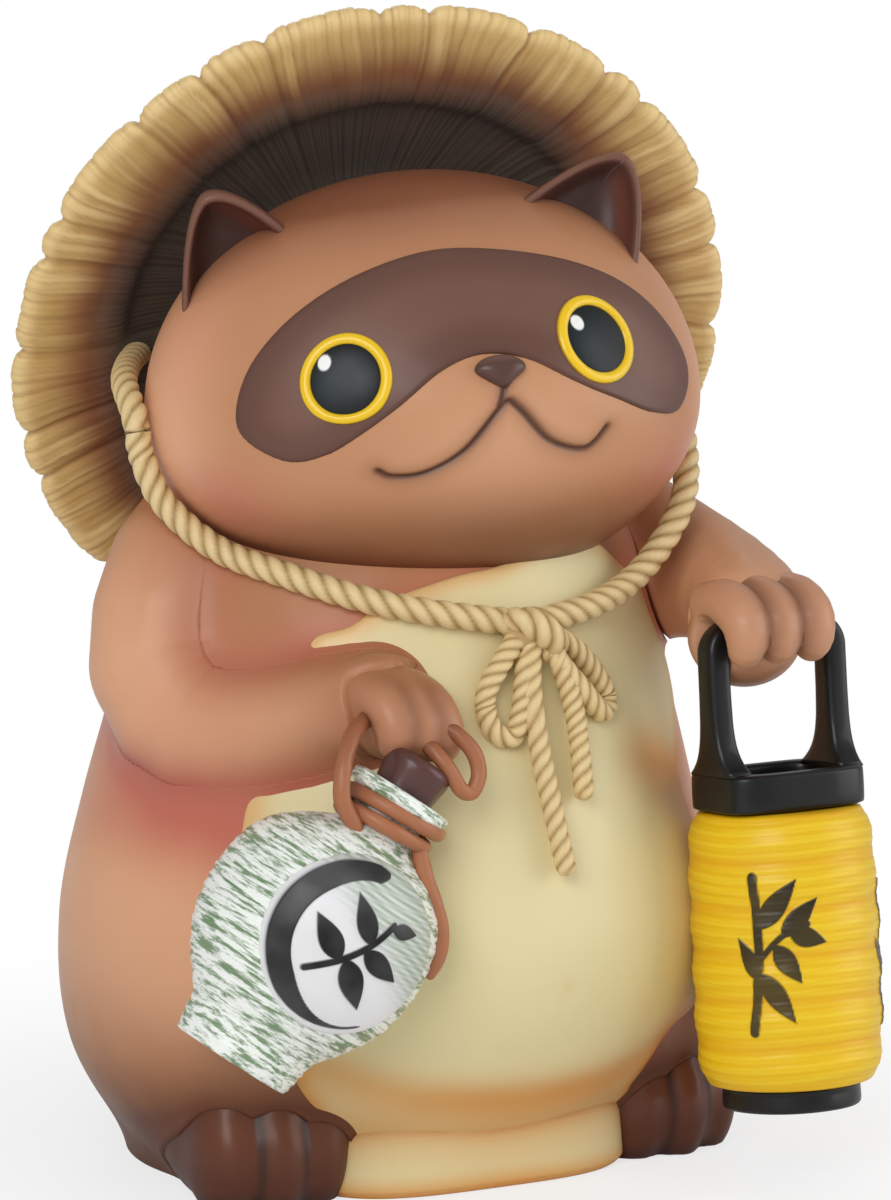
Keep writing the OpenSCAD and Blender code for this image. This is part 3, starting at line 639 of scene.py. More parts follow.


# On the feet, pale is a painted highlight and line is painted shade.
foot_paint = sprayed_paint("dark_fur_spray", (88, 44, 26), [
    ("pale", (134, 78, 50)), ("line", (44, 20, 12))], coat=0.2, mottle=0.4)
for side, name in ((-1, "right_foot"), (1, "left_foot")):
    rings = star_skin(np.array([side * 55, -34, 9.0]),
        lambda p: np.maximum(foot(p, side), -p[:, 2] + 0.05), 110, 150, 60)
    rings = settle(rings, lambda p: foot(p, side), trunk, 2.4)
    rings[..., 2] = np.maximum(rings[..., 2], 0.05)

    def foot_marks(p, side=side):
        """Painted highlight on the toes' tops; painted shade between them, under the body and at the
        floor.
        """
        toe = (p[:, 0] - side * 55 + (p[:, 1] + 34) * 0.14 * side) / (foot_w * 0.28)
        between = np.exp(-np.square((np.abs(toe) - 0.5) / 0.09)) * ramp(-p[:, 1], 44, 54)
        edge = np.exp(-np.maximum(trunk(p), 0) / 4)
        return {"line": np.clip(0.7 * between + 0.45 * edge + 0.6 * ramp(-p[:, 2], -6, 0), 0, 1),
            "pale": 0.45 * ramp(p[:, 2], 6, 24) * ramp(-p[:, 1], 38, 52) * (1 - between)}

    put_piece(name + "_cast", [closed_skin(rings)], foot_paint, [name],
        marks=mark_set(foot_marks, "line", "pale"))


# Tail: a short stout brush of fur that lies round the figure's left side, up against the rump.
# It is cast resin with its locks cut into the clay, in the feet's dark brown.
tail_rows = fine([[0, 58, 26, 6], [8, 74, 24, 18], [26, 80, 30, 21], [44, 76, 44, 18], [54, 68, 58, 8],
    [56, 64, 64, 1]], 12)


def tail(p):
    """Distance from the tail."""
    return rod(p, tail_rows[::4])


def tail_fur(turn, run):
    """Locks of fur: the radius swells in nine waves round the tail that lean along it, with finer ones
    on top."""
    return 0.97 + 0.022 * np.sin(9 * turn + run / 5) + 0.012 * np.sin(23 * turn - run / 3)


def tail_marks(p):
    """Painted shade in the hollows between the locks and a painted highlight on their crests."""
    off = tail(p)
    return {"line": np.clip(-off / 0.9, 0, 1) * 0.5, "pale": 0.5 * ramp(off, -0.1, 0.7)}


put_piece("tail_cast", [closed_skin(tube(tail_rows, [0, 0, 1], 150, tail_fur))], foot_paint,
    ["tail"], marks=mark_set(tail_marks, "line", "pale"))


# Trunk skin: the hollow casting of the body. Its wall turns in under the rim, where the base plate
# closes it, and it swells out into every limb that grows from it.
def limbs(p):
    """Distance from the nearest limb, melted where two meet."""
    return melt([right_arm(p), left_arm(p), foot(p, -1) + 1, foot(p, 1) + 1], 1)


heights = np.concatenate([np.linspace(0, 3, 7)[:-1], np.linspace(3, body_h, 190)])
turns = np.linspace(0, 2 * np.pi, 501)[:-1]
flat_way = np.stack([np.cos(turns), np.sin(turns), 0 * turns], 1)
start = np.repeat(heights[:, None], len(turns), 1).reshape(-1)
way = np.tile(flat_way, (len(heights), 1))
low, high = np.zeros(len(way)), np.full(len(way), 130.0)
for step in range(18):
    half = (low + high) / 2
    q = half[:, None] * way
    q[:, 2] = start
    inside = trunk(q) < 0
    low, high = np.where(inside, half, low), np.where(inside, high, half)
low -= 2.2 * (1 - np.sqrt(1 - np.square(np.clip(1 - start / 3, 0, 1))))
rings = low[:, None] * way
rings[:, 2] = start
rings = settle(rings.reshape(len(heights), len(turns), 3), trunk, limbs, limb_soft)
rings[..., 2] = np.clip(rings[..., 2], 0, body_h)
under = [rings[0] * [share, share, 1] + [0, 0, lift]
    for share, lift in ((0.955, 0.0), (0.93, 0.3), (0.93, 8))]
rings = np.concatenate([np.array(under[::-1]), rings])

belly_line = [[-27, 151], [-10, 156], [4, 158], [19, 163], [34, 161], [46, 152], [58, 141], [63, 122],
    [58, 103], [61, 82], [62, 57], [58, 42], [47, 34], [40, 22], [38, 8], [-44, 8], [-50, 24], [-57, 36],
    [-64, 58], [-66, 80], [-62, 102], [-57, 113], [-50, 127], [-45, 141], [-36, 145]]


def to_line(p, line):
    """Least distance in a plane from points to a closed broken line."""
    best = np.full(len(p), 1e9)
    for a, b in zip(line, np.roll(line, -1, 0)):
        run = b - a
        t = np.clip((p - a) @ run / max(run @ run, 1e-9), 0, 1)
        best = np.minimum(best, np.linalg.norm(p - a - t[:, None] * run, axis=1))
    return best


def loop(line, per):
    """A closed smooth line through points given in turn, with per steps between each two."""
    line = np.asarray(line, float)
    wrap = np.vstack([line[-1], line, line[:2]])
    return along(wrap, np.linspace(1, len(line) + 1, len(line) * per + 1)[:-1])


belly_edge = loop(belly_line, 5)


def trunk_marks(p):
    """The fur's marks, with a pink line sprayed round the belly panel and painted shade round the feet
    and the tail."""
    marks = fur_marks(p)
    edge = to_line(p[:, [0, 2]], belly_edge)
    front = ramp(-p[:, 1], 5, 25)
    marks["blush"] = np.clip(marks["blush"] + 0.45 * np.exp(-edge / 5) * front, 0, 1)
    # Painted shade where the feet and the tail meet the body.
    shade = 0.75 * np.exp(-np.maximum(foot(p, -1), 0) / 9) + 0.75 * np.exp(-np.maximum(foot(p, 1), 0) / 9)
    shade += 0.5 * np.exp(-np.maximum(tail(p), 0) / 6)
    marks["shade"] = np.clip(marks["shade"] + shade, 0, 1)
    return marks


put_piece("body_cast", [closed_skin(rings)], fur_paint, ["body_shell"],
    marks=mark_set(trunk_marks, *fur_names))


# Base plate and plug: a felted board closes the hollow body, and a rubber plug fills its hole.
# Both keep their CAD shape and get their own finish.
felt = sprayed_paint("base_felt_nap", (120, 106, 88), [], bump=0.6, bump_mm=0.4, fineness=6, coat=0,
    mottle=0.8)
rubber = sprayed_paint("plug_rubber_skin", (58, 57, 56), [], bump=0.2, bump_mm=0.3, fineness=3, coat=0,
    mottle=0.6)
for name, paint in (("base_plate", felt), ("base_plug", rubber)):
    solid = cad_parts[name]
    solid.data.materials.clear()
    solid.data.materials.append(paint)


# Belly: a cream panel that stands a little proud of the body, with a soft rounded edge. Orange
# painted shade lies in the fold under the chest, over the pouch, round the edge and low down, and the
# navel is a nick.
belly_proud = 1.6


def front_skin(x, z, out):
    """Depth of the trunk's front at x and z, found by halving steps along Y, moved out by some
    millimetres."""
    near, far = np.full(x.shape, -112.0), np.full(x.shape, -8.0)
    for step in range(20):
        half = (near + far) / 2
        outside = trunk(np.stack([x, half, z], 1)) > out
        near, far = np.where(outside, half, near), np.where(outside, far, half)
    return far


def panel_rings(edge, middle, shares):
    """Rings of points in a plane from an outline in to a middle point, by shares."""
    return middle + np.array(shares)[:, None, None] * (edge[None] - middle)


def raised_patch(p, f, out):
    """Moves points of a patch off a form, along its outward gradient by out."""
    base = f(p)
    grad = np.stack([(f(p + np.eye(3)[k] * 0.05) - base) / 0.05 for k in range(3)], 1)
    grad /= np.linalg.norm(grad, axis=1)[:, None]
    return p + grad * out[:, None]


belly_edge_fine = loop(belly_line, 14)
shares = np.concatenate([[1.004, 1.0, 0.997, 0.992, 0.985, 0.975], np.linspace(0.96, 0.02, 80)])
flat = panel_rings(belly_edge_fine, np.array([0, 84]), shares).reshape(-1, 2)
belly_points = np.stack([flat[:, 0], front_skin(flat[:, 0], flat[:, 1], 0), flat[:, 1]], 1)
inward = to_line(flat, belly_edge) * np.where(np.repeat(shares, len(belly_edge_fine)) > 1, -1, 1)
rise = belly_proud * np.sqrt(1 - np.square(1 - np.clip(inward / 2.2, 0, 1))) - 1.5 * (inward < 0.05)


def fold(p, line, width):
    """1 on a broken line in the plane and 0 away from it, as exp of minus the squared distance over
    width."""
    line = fine(line, 6)
    return np.exp(-np.square(to_line(p, np.vstack([line, line[::-1]])) / width))


chest_fold = [[64, 91], [58, 96], [51, 101], [43, 105], [34, 108]]
low_fold = [[-52, 37], [-30, 29], [0, 26], [30, 28], [50, 37]]
rise -= 0.9 * fold(flat, chest_fold, 6) + 0.5 * fold(flat, low_fold, 4)
navel = np.exp(-np.square((flat[:, 0] - 6) / 2.0) - np.square((flat[:, 1] - 55) / 2.6))
rise -= 0.4 * navel
belly_points = raised_patch(belly_points, trunk, rise)
belly_rings = belly_points.reshape(len(shares), len(belly_edge_fine), 3)
back_ring = belly_rings[0] * [0.97, 0.9, 1] * 0.98 + [0, 0, 1.7]
belly_rings = np.concatenate([(back_ring * [0.2, 0.4, 0.2] + [0, -20, 67])[None], back_ring[None],
    belly_rings])


def belly_marks(p):
    """Orange painted shade in the folds, along a thin edge, low down and in the navel's nick, and a
    darker painted shade line in the chest fold."""
    q = p[:, [0, 2]]
    edge = to_line(q, belly_edge)
    warm = (0.9 * fold(q, chest_fold, 9) * ramp(q[:, 0], 22, 48) + 0.6 * fold(q, low_fold, 6)
        + 0.55 * np.exp(-np.square(edge / 3)))
    low = 0.5 * ramp(-p[:, 2], -34, -18)
    nick = np.exp(-np.square((q[:, 0] - 6) / 1.0) - np.square((q[:, 1] - 55) / 2.2))
    return {"warm": np.clip(warm + low + 0.3 * nick, 0, 1),
        "deep": np.clip(0.25 * fold(q, chest_fold, 3) * ramp(q[:, 0], 35, 55), 0, 1)}


# The cream's warm and deep layers are orange painted shade.
cream_paint = sprayed_paint("cream_belly_spray", (230, 217, 168), [
    ("warm", (220, 148, 62)), ("deep", (166, 92, 34))], mottle=0.3, blotch=(220, 203, 150))
put_piece("belly_cast", [closed_skin(belly_rings)], cream_paint, ["belly_panel"],
    marks=mark_set(belly_marks, "warm", "deep"))


# Pouch: the broad flat bag under the belly, with a soft edge all round. It is cast resin in one
# with the belly, in the same cream, and the figure rests on it.
pouch_w, pouch_h = 91, 38
turn = np.linspace(0, 2 * np.pi, 241)[:-1]
outline = np.stack([pouch_w / 2 * np.sign(np.cos(turn)) * np.abs(np.cos(turn)) ** 0.6,
    34 * np.sign(np.sin(turn)) * np.abs(np.sin(turn)) ** 0.6], 1)
side_rows = fine([[0, 0.955], [0.03, 0.985], [0.1, 1.0], [0.45, 0.98], [0.8, 0.92], [0.93, 0.87],
    [1, 0.8]], 8)
pouch_rings = np.stack([np.column_stack([outline * share, np.full(len(outline), pouch_h * up)])
    + [-0.5, -30, 0] for up, share in side_rows])
pouch_rings = np.concatenate([(pouch_rings[0] * [0.9, 0.9, 1] + [0, -3, 0])[None], pouch_rings])


def pouch_marks(p):
    """Orange painted shade where the bag meets the belly and along the floor, with a darker painted
    shade line in the seam, and cream on its swell.
    """
    seam = np.abs(trunk(p) - 1.6)
    return {"warm": np.clip(0.8 * np.exp(-seam / 6) + 0.8 * ramp(-p[:, 2], -7, 0), 0, 1),
        "deep": 0.6 * np.exp(-seam / 1.6)}


put_piece("pouch_cast", [closed_skin(pouch_rings)], cream_paint, ["pouch"],
    marks=mark_set(pouch_marks, "warm", "deep"))


# Head: a broad round casting turned to the figure's right. The muzzle swells a little, and the
# mouth is a groove cut in the clay with a fuller lip over it.
head_w, head_d, head_up, head_down, head_z = 142, 116, 58, 50, 195
head_c = np.array([1, -19, head_z])


def turned(degrees):
    """A rotation about X, then Y, then Z, as one matrix."""
    a, b, c = np.radians(degrees)
    about_x = np.array([[1, 0, 0], [0, np.cos(a), -np.sin(a)], [0, np.sin(a), np.cos(a)]])
    about_y = np.array([[np.cos(b), 0, np.sin(b)], [0, 1, 0], [-np.sin(b), 0, np.cos(b)]])
    about_z = np.array([[np.cos(c), -np.sin(c), 0], [np.sin(c), np.cos(c), 0], [0, 0, 1]])
    return about_z @ about_y @ about_x


head_turned = turned([-8, -2.5, -12])


def head_point(az, el, out=0):
    """A point of the head at azimuth and elevation in degrees: the ellipsoid, swelled by a Gaussian
    for the muzzle and one for each cheek, moved out, and turned into place."""
    muzzle = 0.05 * np.exp(-np.square((az - 3) / 24) - np.square((el + 1) / 15))
    cheek = 0.03 * np.exp(-np.square((np.abs(az) - 48) / 26) - np.square((el + 22) / 22))
    k = 1 + muzzle + cheek
    a, e = np.radians(az), np.radians(el)
    high = np.where(el < 0, head_down, head_up)
    local = np.stack([(head_w / 2 * k + out) * np.sin(a) * np.cos(e),
        -(head_d / 2 * k + out) * np.cos(a) * np.cos(e),
        (high + out) * np.sin(e)], -1)
    return local @ head_turned.T + head_c


mouth_line = fine([[-23, -18], [-20, -20], [-13, -19.5], [-5, -14], [2, -3], [4, -0.7], [6, -3],
    [13, -13], [22, -16.5], [27, -10.8]], 8)
face_scale = np.array([1.06, 0.98])


def mouth_reach(az, el):
    """Distance in millimetres from the mouth's line, with azimuth and elevation taken as lengths on
    the face, and how far the point is above the line."""
    q = np.stack([az * face_scale[0], el * face_scale[1]], -1).reshape(-1, 2)
    line = mouth_line * face_scale
    under_nose = np.array([[2, -3], [3.6, 4.0]]) * face_scale
    gap = np.minimum(to_line(q, np.vstack([line, line[::-1]])), to_line(q, under_nose)).reshape(az.shape)
    over = el - np.interp(az, mouth_line[:, 0], mouth_line[:, 1])
    return gap, over


azimuths = np.concatenate([np.linspace(-180, -48, 60)[:-1], np.linspace(-48, 48, 240)[:-1],
    np.linspace(48, 180, 60)[:-1]])
elevations = np.concatenate([np.linspace(-88, -34, 26)[:-1], np.linspace(-34, 12, 112)[:-1],
    np.linspace(12, 88, 44)])
az, el = np.meshgrid(azimuths, elevations)
gap, over = mouth_reach(az, el)
lip = (0.7 * np.exp(-np.square((over - 3.5) / 4)) * np.exp(-np.square(gap / 7))
    * ramp(-np.abs(az - 2), -30, -18))
groove = 1.15 * np.exp(-np.square(gap / 0.85))
head_rings = head_point(az, el, lip - groove)
az_flat, el_flat, gap_flat = [np.append(v.reshape(-1), [v[0].mean(), v[-1].mean()])
    for v in (az, el, gap)]


def trunk_gap(p):
    """How far a point of the head stands off the trunk."""
    return np.clip(trunk(p), 0, 60)


head_skin = closed_skin(head_rings)
head_off = trunk_gap(head_skin[0])
crown = ramp(el_flat + 6 * np.cos(np.radians(az_flat)), 34, 62)
side_of_face = ramp(np.abs(az_flat), 50, 80) * ramp(-np.abs(el_flat - 2), -45, -10)
chin = np.exp(-head_off / 9)
# Head: pale is a light tone with a painted highlight on the sides of the face and a paler muzzle, blush a
# pink tint on the cheeks and chin, shade painted shade under the hat, under the chin and along the mouth's
# groove, and line the mouth's dark line.
head_marks = {
    "pale": np.clip(0.22 + 0.7 * side_of_face
        + 0.3 * np.exp(-np.square((el_flat + 12) / 16) - np.square((az_flat - 3) / 20)), 0, 1),
    "blush": np.clip(
        0.6 * np.exp(-np.square((np.abs(az_flat + 3) - 62) / 16) - np.square((el_flat + 26) / 13))
        + 0.4 * chin
        + 0.3 * np.exp(-np.square((np.abs(az_flat) - 75) / 14) - np.square((el_flat - 20) / 18)), 0, 1),
    "shade": np.clip(0.2 * crown + 0.5 * chin + 0.5 * ramp(-el_flat, 20, 44)
        + 0.3 * np.exp(-np.square(gap_flat / 3.2)), 0, 1),
    "line": 0.9 * np.exp(-np.square(gap_flat / 1.0))}
put_piece("head_cast", [head_skin], fur_paint, ["head_shell"], marks=head_marks)


# Mask: the dark band round the eyes, a thin layer over the face with a soft edge. It is cast in
# one with the head and brushed in a dark brown.
mask_proud = 0.7
mask_line = [[9, 39], [-8, 40], [-25, 35], [-39, 26], [-49, 14], [-53, 2], [-51, -6], [-42, -13],
    [-33, -12], [-24, -6], [-16, 1], [-8, 8], [0, 11], [9, 9], [18, 3], [29, -3], [40, -8], [51, -8],
    [58, 3], [53, 15], [43, 26], [28, 34]]
mask_edge = loop(mask_line, 16)
shares = np.concatenate([[1.012, 1.0, 0.996, 0.99, 0.98, 0.965], np.linspace(0.945, 0.004, 74)])
flat = panel_rings(mask_edge, np.array([3, 22]), shares)
inward = (to_line(flat.reshape(-1, 2), loop(mask_line, 5)).reshape(flat.shape[:2])
    * np.where(shares > 1, -1, 1)[:, None])
rise = mask_proud * np.sqrt(1 - np.square(1 - np.clip(inward / 1.2, 0, 1))) - 0.8 * (inward < 0.02)
mask_rings = head_point(flat[..., 0], flat[..., 1], rise)
mask_back = head_point(flat[0, :, 0], flat[0, :, 1], -3)
mask_rings = np.concatenate([((mask_back - head_c) * 0.6 + head_c)[None], mask_back[None], mask_rings])
mask_in = np.concatenate([np.zeros((2, len(mask_edge))), inward]).reshape(-1)
mask_paint = sprayed_paint("mask_spray", (106, 72, 60), [("pale", (128, 92, 78)), ("line", (74, 44, 36))],
    mottle=0.35)
mask_skin = closed_skin(mask_rings)
mask_fade = np.append(mask_in, [0, 20])
put_piece("face_mask_cast", [mask_skin], mask_paint, ["face_mask"], marks={
    "pale": 0.5 * ramp(mask_fade, 4, 12), "line": 0.55 * np.exp(-np.maximum(mask_fade, 0) / 1.2)})


# Eyes: a raised yellow ring round a domed dark pupil with one painted glint. Both are cast on
# the mask and painted in enamel.
ring_mid_r, ring_half_w, pupil_r = 10.05, 1.45, 9.0
eye_places = {"right": (-27.7, 7.6), "left": (26.5, 12.3)}


def eye_point(place, across, turn, out):
    """A point round an eye: across millimetres from its middle at an angle, laid on the face by the
    lengths of a degree there."""
    a0, e0 = place
    wide = np.linalg.norm(head_point(np.array(a0 + 0.5), np.array(e0))
        - head_point(np.array(a0 - 0.5), np.array(e0)))
    tall = np.linalg.norm(head_point(np.array(a0), np.array(e0 + 0.5))
        - head_point(np.array(a0), np.array(e0 - 0.5)))
    return head_point(a0 + across * np.cos(turn) / wide, e0 + across * np.sin(turn) / tall, out)


def enamel(name, base, layers, rough, clear):
    """A brushed enamel: the base colour under layers laid by point attributes, with a clear coat and a
    faint brush swell."""
    paint = sprayed_paint(name, base, layers, bump=0.1, bump_mm=0.3, coat=clear, mottle=0.4)
    paint.node_tree.nodes["Principled BSDF"].inputs["Coat Roughness"].default_value = rough
    return paint


eye_yellow = enamel("eye_yellow_enamel", (246, 202, 16), [("line", (150, 104, 20))], 0.12, 0.5)
eye_dark = enamel("eye_dark_enamel", (18, 24, 27), [("painted_reflection", (40, 50, 54)), ("glint", (250, 250, 248))],
    0.35, 0.04)
turn = np.linspace(0, 2 * np.pi, 121)[:-1][None, :]
for side, place in eye_places.items():
    beta = np.linspace(0, 2 * np.pi, 25)[:-1][:, None]
    across = ring_mid_r + ring_half_w * np.cos(beta)
    ring = eye_point(place, across, turn, 0.7 + 1.15 * np.sin(beta) + 0 * turn)
    ring = np.transpose(ring, (1, 0, 2))
    rows, cols = ring.shape[:2]
    i = np.arange(rows)[:, None] * cols
    j = np.arange(cols)
    i_next, j_next = (i + cols) % (rows * cols), (j + 1) % cols
    quads = np.stack([i + j, i_next + j, i_next + j_next, i + j_next], -1).reshape(-1, 4)
    points = ring.reshape(-1, 3)
    a, b, c = points[quads[:, 0]], points[quads[:, 1]], points[quads[:, 2]]
    if (a * np.cross(b, c)).sum() < 0:
        quads = quads[:, ::-1]
    # Painted shadow: dark lines along the ring's outer and inner edges.
    edge_shadow = np.tile(0.75 * ramp(np.cos(beta[:, 0]), 0.75, 1) + 0.5 * ramp(-np.cos(beta[:, 0]), 0.8, 1),
        rows)
    put_piece(side + "_eye_ring", [(points, quads, np.zeros((0, 3), int))], eye_yellow,
        [side + "_eye"], marks={"line": edge_shadow})
    across = np.concatenate([[pupil_r, pupil_r], np.linspace(8.9, 0.15, 44)])[:, None]
    dome = 0.75 + 0.95 * np.sqrt(np.clip(1 - np.square(across / pupil_r), 0, 1))
    dome[0] = -1.5
    pupil = eye_point(place, across, turn, dome + 0 * turn)
    px, py = (across * np.cos(turn)).reshape(-1), (across * np.sin(turn)).reshape(-1)
    px, py = np.append(px, [0, 0]), np.append(py, [0, 0])
    # A painted reflection lightens one side of the pupil, beside its painted glint.
    put_piece(side + "_pupil_dome", [closed_skin(pupil)], eye_dark, [side + "_pupil"], marks={
        "painted_reflection": 0.75 * np.exp(-np.square((px + 3.5) / 4.5) - np.square((py + 1) / 5.5)),
        "glint": 1 - ramp(np.hypot((px + 5.0) / 1.0, (py - 4.3) / 1.15), 1.5, 1.9)})


# Nose: a small dark button, broad on top and drawn in towards the mouth's line. It is cast on
# the muzzle and painted in brown enamel.
def on_face(az0, el0, out):
    """The middle, and the across, up and outward directions, of a place on the face."""
    a, e = np.array(float(az0)), np.array(float(el0))
    middle = head_point(a, e, out)
    across = head_point(a + 1, e) - head_point(a - 1, e)
    up = head_point(a, e + 1) - head_point(a, e - 1)
    across, up = across / np.linalg.norm(across), up / np.linalg.norm(up)
    away = np.cross(across, up)
    return middle, across, up, away / np.linalg.norm(away)


nose_mid, nose_across, nose_up, nose_out = on_face(3, 7, 0.4)
ball = globe([0, 0, 0], [1, 1, 1], 50, 72)
narrow = 1 - 0.5 * ramp(-ball[..., 2], -0.1, 1.0)
flat_top = np.where(ball[..., 2] > 0, 0.8, 1)
nose_rings = (nose_mid + (ball[..., 0] * narrow * 6.6)[..., None] * nose_across
    + (ball[..., 2] * flat_top * 4.5)[..., None] * nose_up
    + (-ball[..., 1] * 3.0)[..., None] * nose_out)
nose_paint = enamel("nose_enamel", (88, 58, 50), [("pale", (140, 104, 90))], 0.2, 0.35)
# Painted highlight on the top of the nose.
put_piece("nose_cast", [closed_skin(nose_rings)], nose_paint, ["nose"],
    marks={"pale": lambda p: 0.5 * ramp((p - nose_mid) @ nose_up, 0.5, 3.5)})


# Ears: two cupped triangles of cast resin with a rolled edge, let into the head in front of the
# hat. Their cups carry painted shade and their rolled rims a painted highlight.
ear_h = 18
ear_paint = sprayed_paint("ear_spray", (92, 60, 52),
    [("pale", (130, 88, 72)), ("line", (56, 36, 32)), ("fold", (116, 66, 52))], coat=0.15)


def ear_rings(base_a, base_b, tip):
    """Rings of a cupped ear: soft triangles on two base points and a tip, shrunk by a share and set
    back, first down the back, then over the lip and into the cup."""
    a, b, t = [head_point(np.array(float(u[0])), np.array(float(u[1])), h)
        for u, h in ((base_a, -1), (base_b, -1), (tip, ear_h))]
    mid = (a + b) / 2
    heart = mid + 0.3 * (t - mid)
    back = np.cross(t - a, b - a)
    back /= np.linalg.norm(back)
    v = np.linspace(0, 1, 40)
    up = np.concatenate([-0.4 + 1.4 * np.sin(v * np.pi / 2), (1 - 1.4 * (1 - np.cos(v * np.pi / 2)))])
    side = np.repeat([-1, 1], 40)
    flare = np.clip(1 - np.maximum(up, 0), 0, 1) ** 0.58
    ring = mid + up[:, None] * (t - mid) + (side * 0.5 * flare)[:, None] * (b - a)
    steps = [[0.05, 12.2], [0.3, 11.8], [0.5, 10.8], [0.68, 9.2], [0.8, 7.6], [0.9, 5.4], [0.96, 3.2],
        [0.995, 1.2], [1.0, -0.4], [0.985, -1.6], [0.94, -2.3], [0.88, -2.2], [0.83, -1.2], [0.8, 0.4],
        [0.74, 2.2], [0.64, 4], [0.5, 5.4], [0.3, 6.3], [0.1, 6.6]]
    rows = fine(steps, 3)
    return heart + rows[:, 0, None, None] * (ring - heart)[None] + rows[:, 1, None, None] * back


for side, points3 in (("right", ([-83, 27], [-59, 53], [-70, 47])),
    ("left", ([36, 57], [59, 31], [60, 49]))):
    rings = ear_rings(*points3)
    lip_row = np.repeat(np.linspace(0, 18, len(rings)), rings.shape[1])
    lip_row = np.append(lip_row, [0, 18])
    # Painted highlight along the rolled rim, painted shade down in the cup, and a reddish fold.
    put_piece(side + "_ear_cast", [closed_skin(rings)], ear_paint, [side + "_ear"], marks={
        "pale": np.exp(-np.square((lip_row - 9.5) / 1.8)) * 0.8, "line": 0.75 * ramp(lip_row, 12.5, 15.5),
        "fold": 0.7 * np.exp(-np.square((lip_row - 14.5) / 1.4))
        * np.append(np.tile(ramp(np.arange(rings.shape[1]), 36, 52), len(rings)), [0, 0])})


# Hat: a wide shallow straw hat worn on the back of the head. Its straw is modelled as bundles with
# a cut end each, held by one sewn ring. Under the brim, painted shade darkens it through brown to black
# towards the head; its grooves carry painted shade, its raised straws a painted highlight, its rim a
# light cream edge, and its top a faint brown tint.
hat_set, bundle_count, straw_count, fibre_count = 39, 26, 118, 330
hat_turned = turned([-(90 - 21.5), 0, -12])
hat_profile = [[30, 15], [40, 15], [54, 10.4], [62, 7], [66, 3.2], [71, 1.2], [80, -0.4], [89, -1.4],
    [93.2, -1.1], [94.8, 0.6], [94.2, 2.8], [92, 4.8], [89, 6.2], [79, 12], [66, 21.6], [42, 32.8],
    [22, 41.4], [8, 45.4], [2, 45.9]]
rows = fine(hat_profile, 5)
rng = np.random.default_rng(7)
turn = np.linspace(0, 2 * np.pi, 1081)[:-1]


def straw_edges(count, jitter):
    """Angles of the grooves between straws: even steps, each moved by a share of a step."""
    return np.sort((np.arange(count) + jitter * rng.uniform(-0.5, 0.5, count)) * 2 * np.pi / count)


def groove_gap(angle, edges):
    """Angle from each point to the nearest groove, and the number of the straw it is on."""
    wrap = np.concatenate([[edges[-1] - 2 * np.pi], edges, [edges[0] + 2 * np.pi]])
    k = np.searchsorted(wrap, angle % (2 * np.pi), side="right") - 1
    k = np.clip(k, 0, len(wrap) - 2)
    a = angle % (2 * np.pi)
    return np.minimum(a - wrap[k], wrap[k + 1] - a), k % len(edges)


bundles = np.arange(bundle_count)
bundle_edges = (np.radians((bundles + 0.25 * np.sin(np.radians(137 * bundles))) * 360 / bundle_count)
    % (2 * np.pi))
bundle_edges = np.sort(bundle_edges)
straw_lines, fibre_lines = straw_edges(straw_count, 0.8), straw_edges(fibre_count, 0.9)
rho, zed = rows[:, 0, None], rows[:, 1, None]
sway = 0.012 * np.sin(rho / 9 + 3 * np.sin(turn * 5)[None]) * ramp(rho, 60, 95)
at = turn[None] + sway
bundle_gap, bundle = groove_gap(at, bundle_edges)
straw_gap, straw = groove_gap(at, straw_lines)
fibre_gap, fibre = groove_gap(at + 0.4 * sway, fibre_lines)
bundle_lift = rng.uniform(-0.15, 0.3, bundle_count)[bundle]
straw_lift = rng.uniform(-0.22, 0.22, straw_count)[straw]
fibre_lift = rng.uniform(-0.1, 0.1, fibre_count)[fibre]
under_side = (np.arange(len(rows)) < len(rows) * 0.52)[:, None]
brim = ramp(rho, 58, 74)
relief = bundle_lift + 0.6 * straw_lift + fibre_lift - 0.6 * np.exp(-np.square(bundle_gap * rho / 0.9))
relief -= (0.45 * np.exp(-np.square(bundle_gap * rho / 3.5))
    + 0.14 * np.exp(-np.square(straw_gap * rho / 0.45)) + 0.12 * np.exp(-np.square(fibre_gap * rho / 0.3)))
relief -= 0.25 * np.exp(-np.square((rho - 86) / 0.9)) * (0.6 + 0.4 * np.cos(turn * 160))[None]
relief *= np.where(under_side, 0.35 + 0.65 * brim, 1)
slope = np.gradient(rows, axis=0)
slope /= np.linalg.norm(slope, axis=1)[:, None]
normal_r, normal_z = slope[:, 1, None], -slope[:, 0, None]
notch = (0.8 * np.exp(-np.square(bundle_gap * 95 / 1.3)) + 0.9 * np.exp(-np.square(bundle_gap * 95 / 4))
    + rng.uniform(0, 0.5, bundle_count)[bundle] + 0.25 * np.exp(-np.square(straw_gap * 95 / 0.5))
    + rng.uniform(0, 0.3, straw_count)[straw]) * ramp(rho, 84, 94)
rad = rho - 0.25 - notch + np.clip(relief, -2, 0.2) * normal_r
hat_z = zed + np.clip(relief, -2, 0.6) * normal_z + 0.5 * np.sin(3 * turn + 0.6)[None] * ramp(rho, 70, 95)
local = np.stack([rad * np.cos(turn), rad * np.sin(turn), hat_z], -1)
hat_rings = (local + [-3, 3, hat_set]) @ hat_turned.T + head_c


def flat_marks(*grids):
    """Grids of a mark as one list for a closed skin, with its two end points at their rings' means."""
    return [np.append(g.reshape(-1), [g[0].mean(), g[-1].mean()]) for g in grids]


# Painted shade under the brim: black towards the head and brown further out; the top only gets a faint
# brown tint.
under_brim_shade = np.where(under_side, 1 - ramp(rho + 1.5 * np.sin(turn * 7)[None] + 4 * straw_lift, 63, 79), 0.0)
brown = np.where(under_side, 1 - ramp(rho + 8 * straw_lift, 73, 89), 0.12 + 0 * rho)
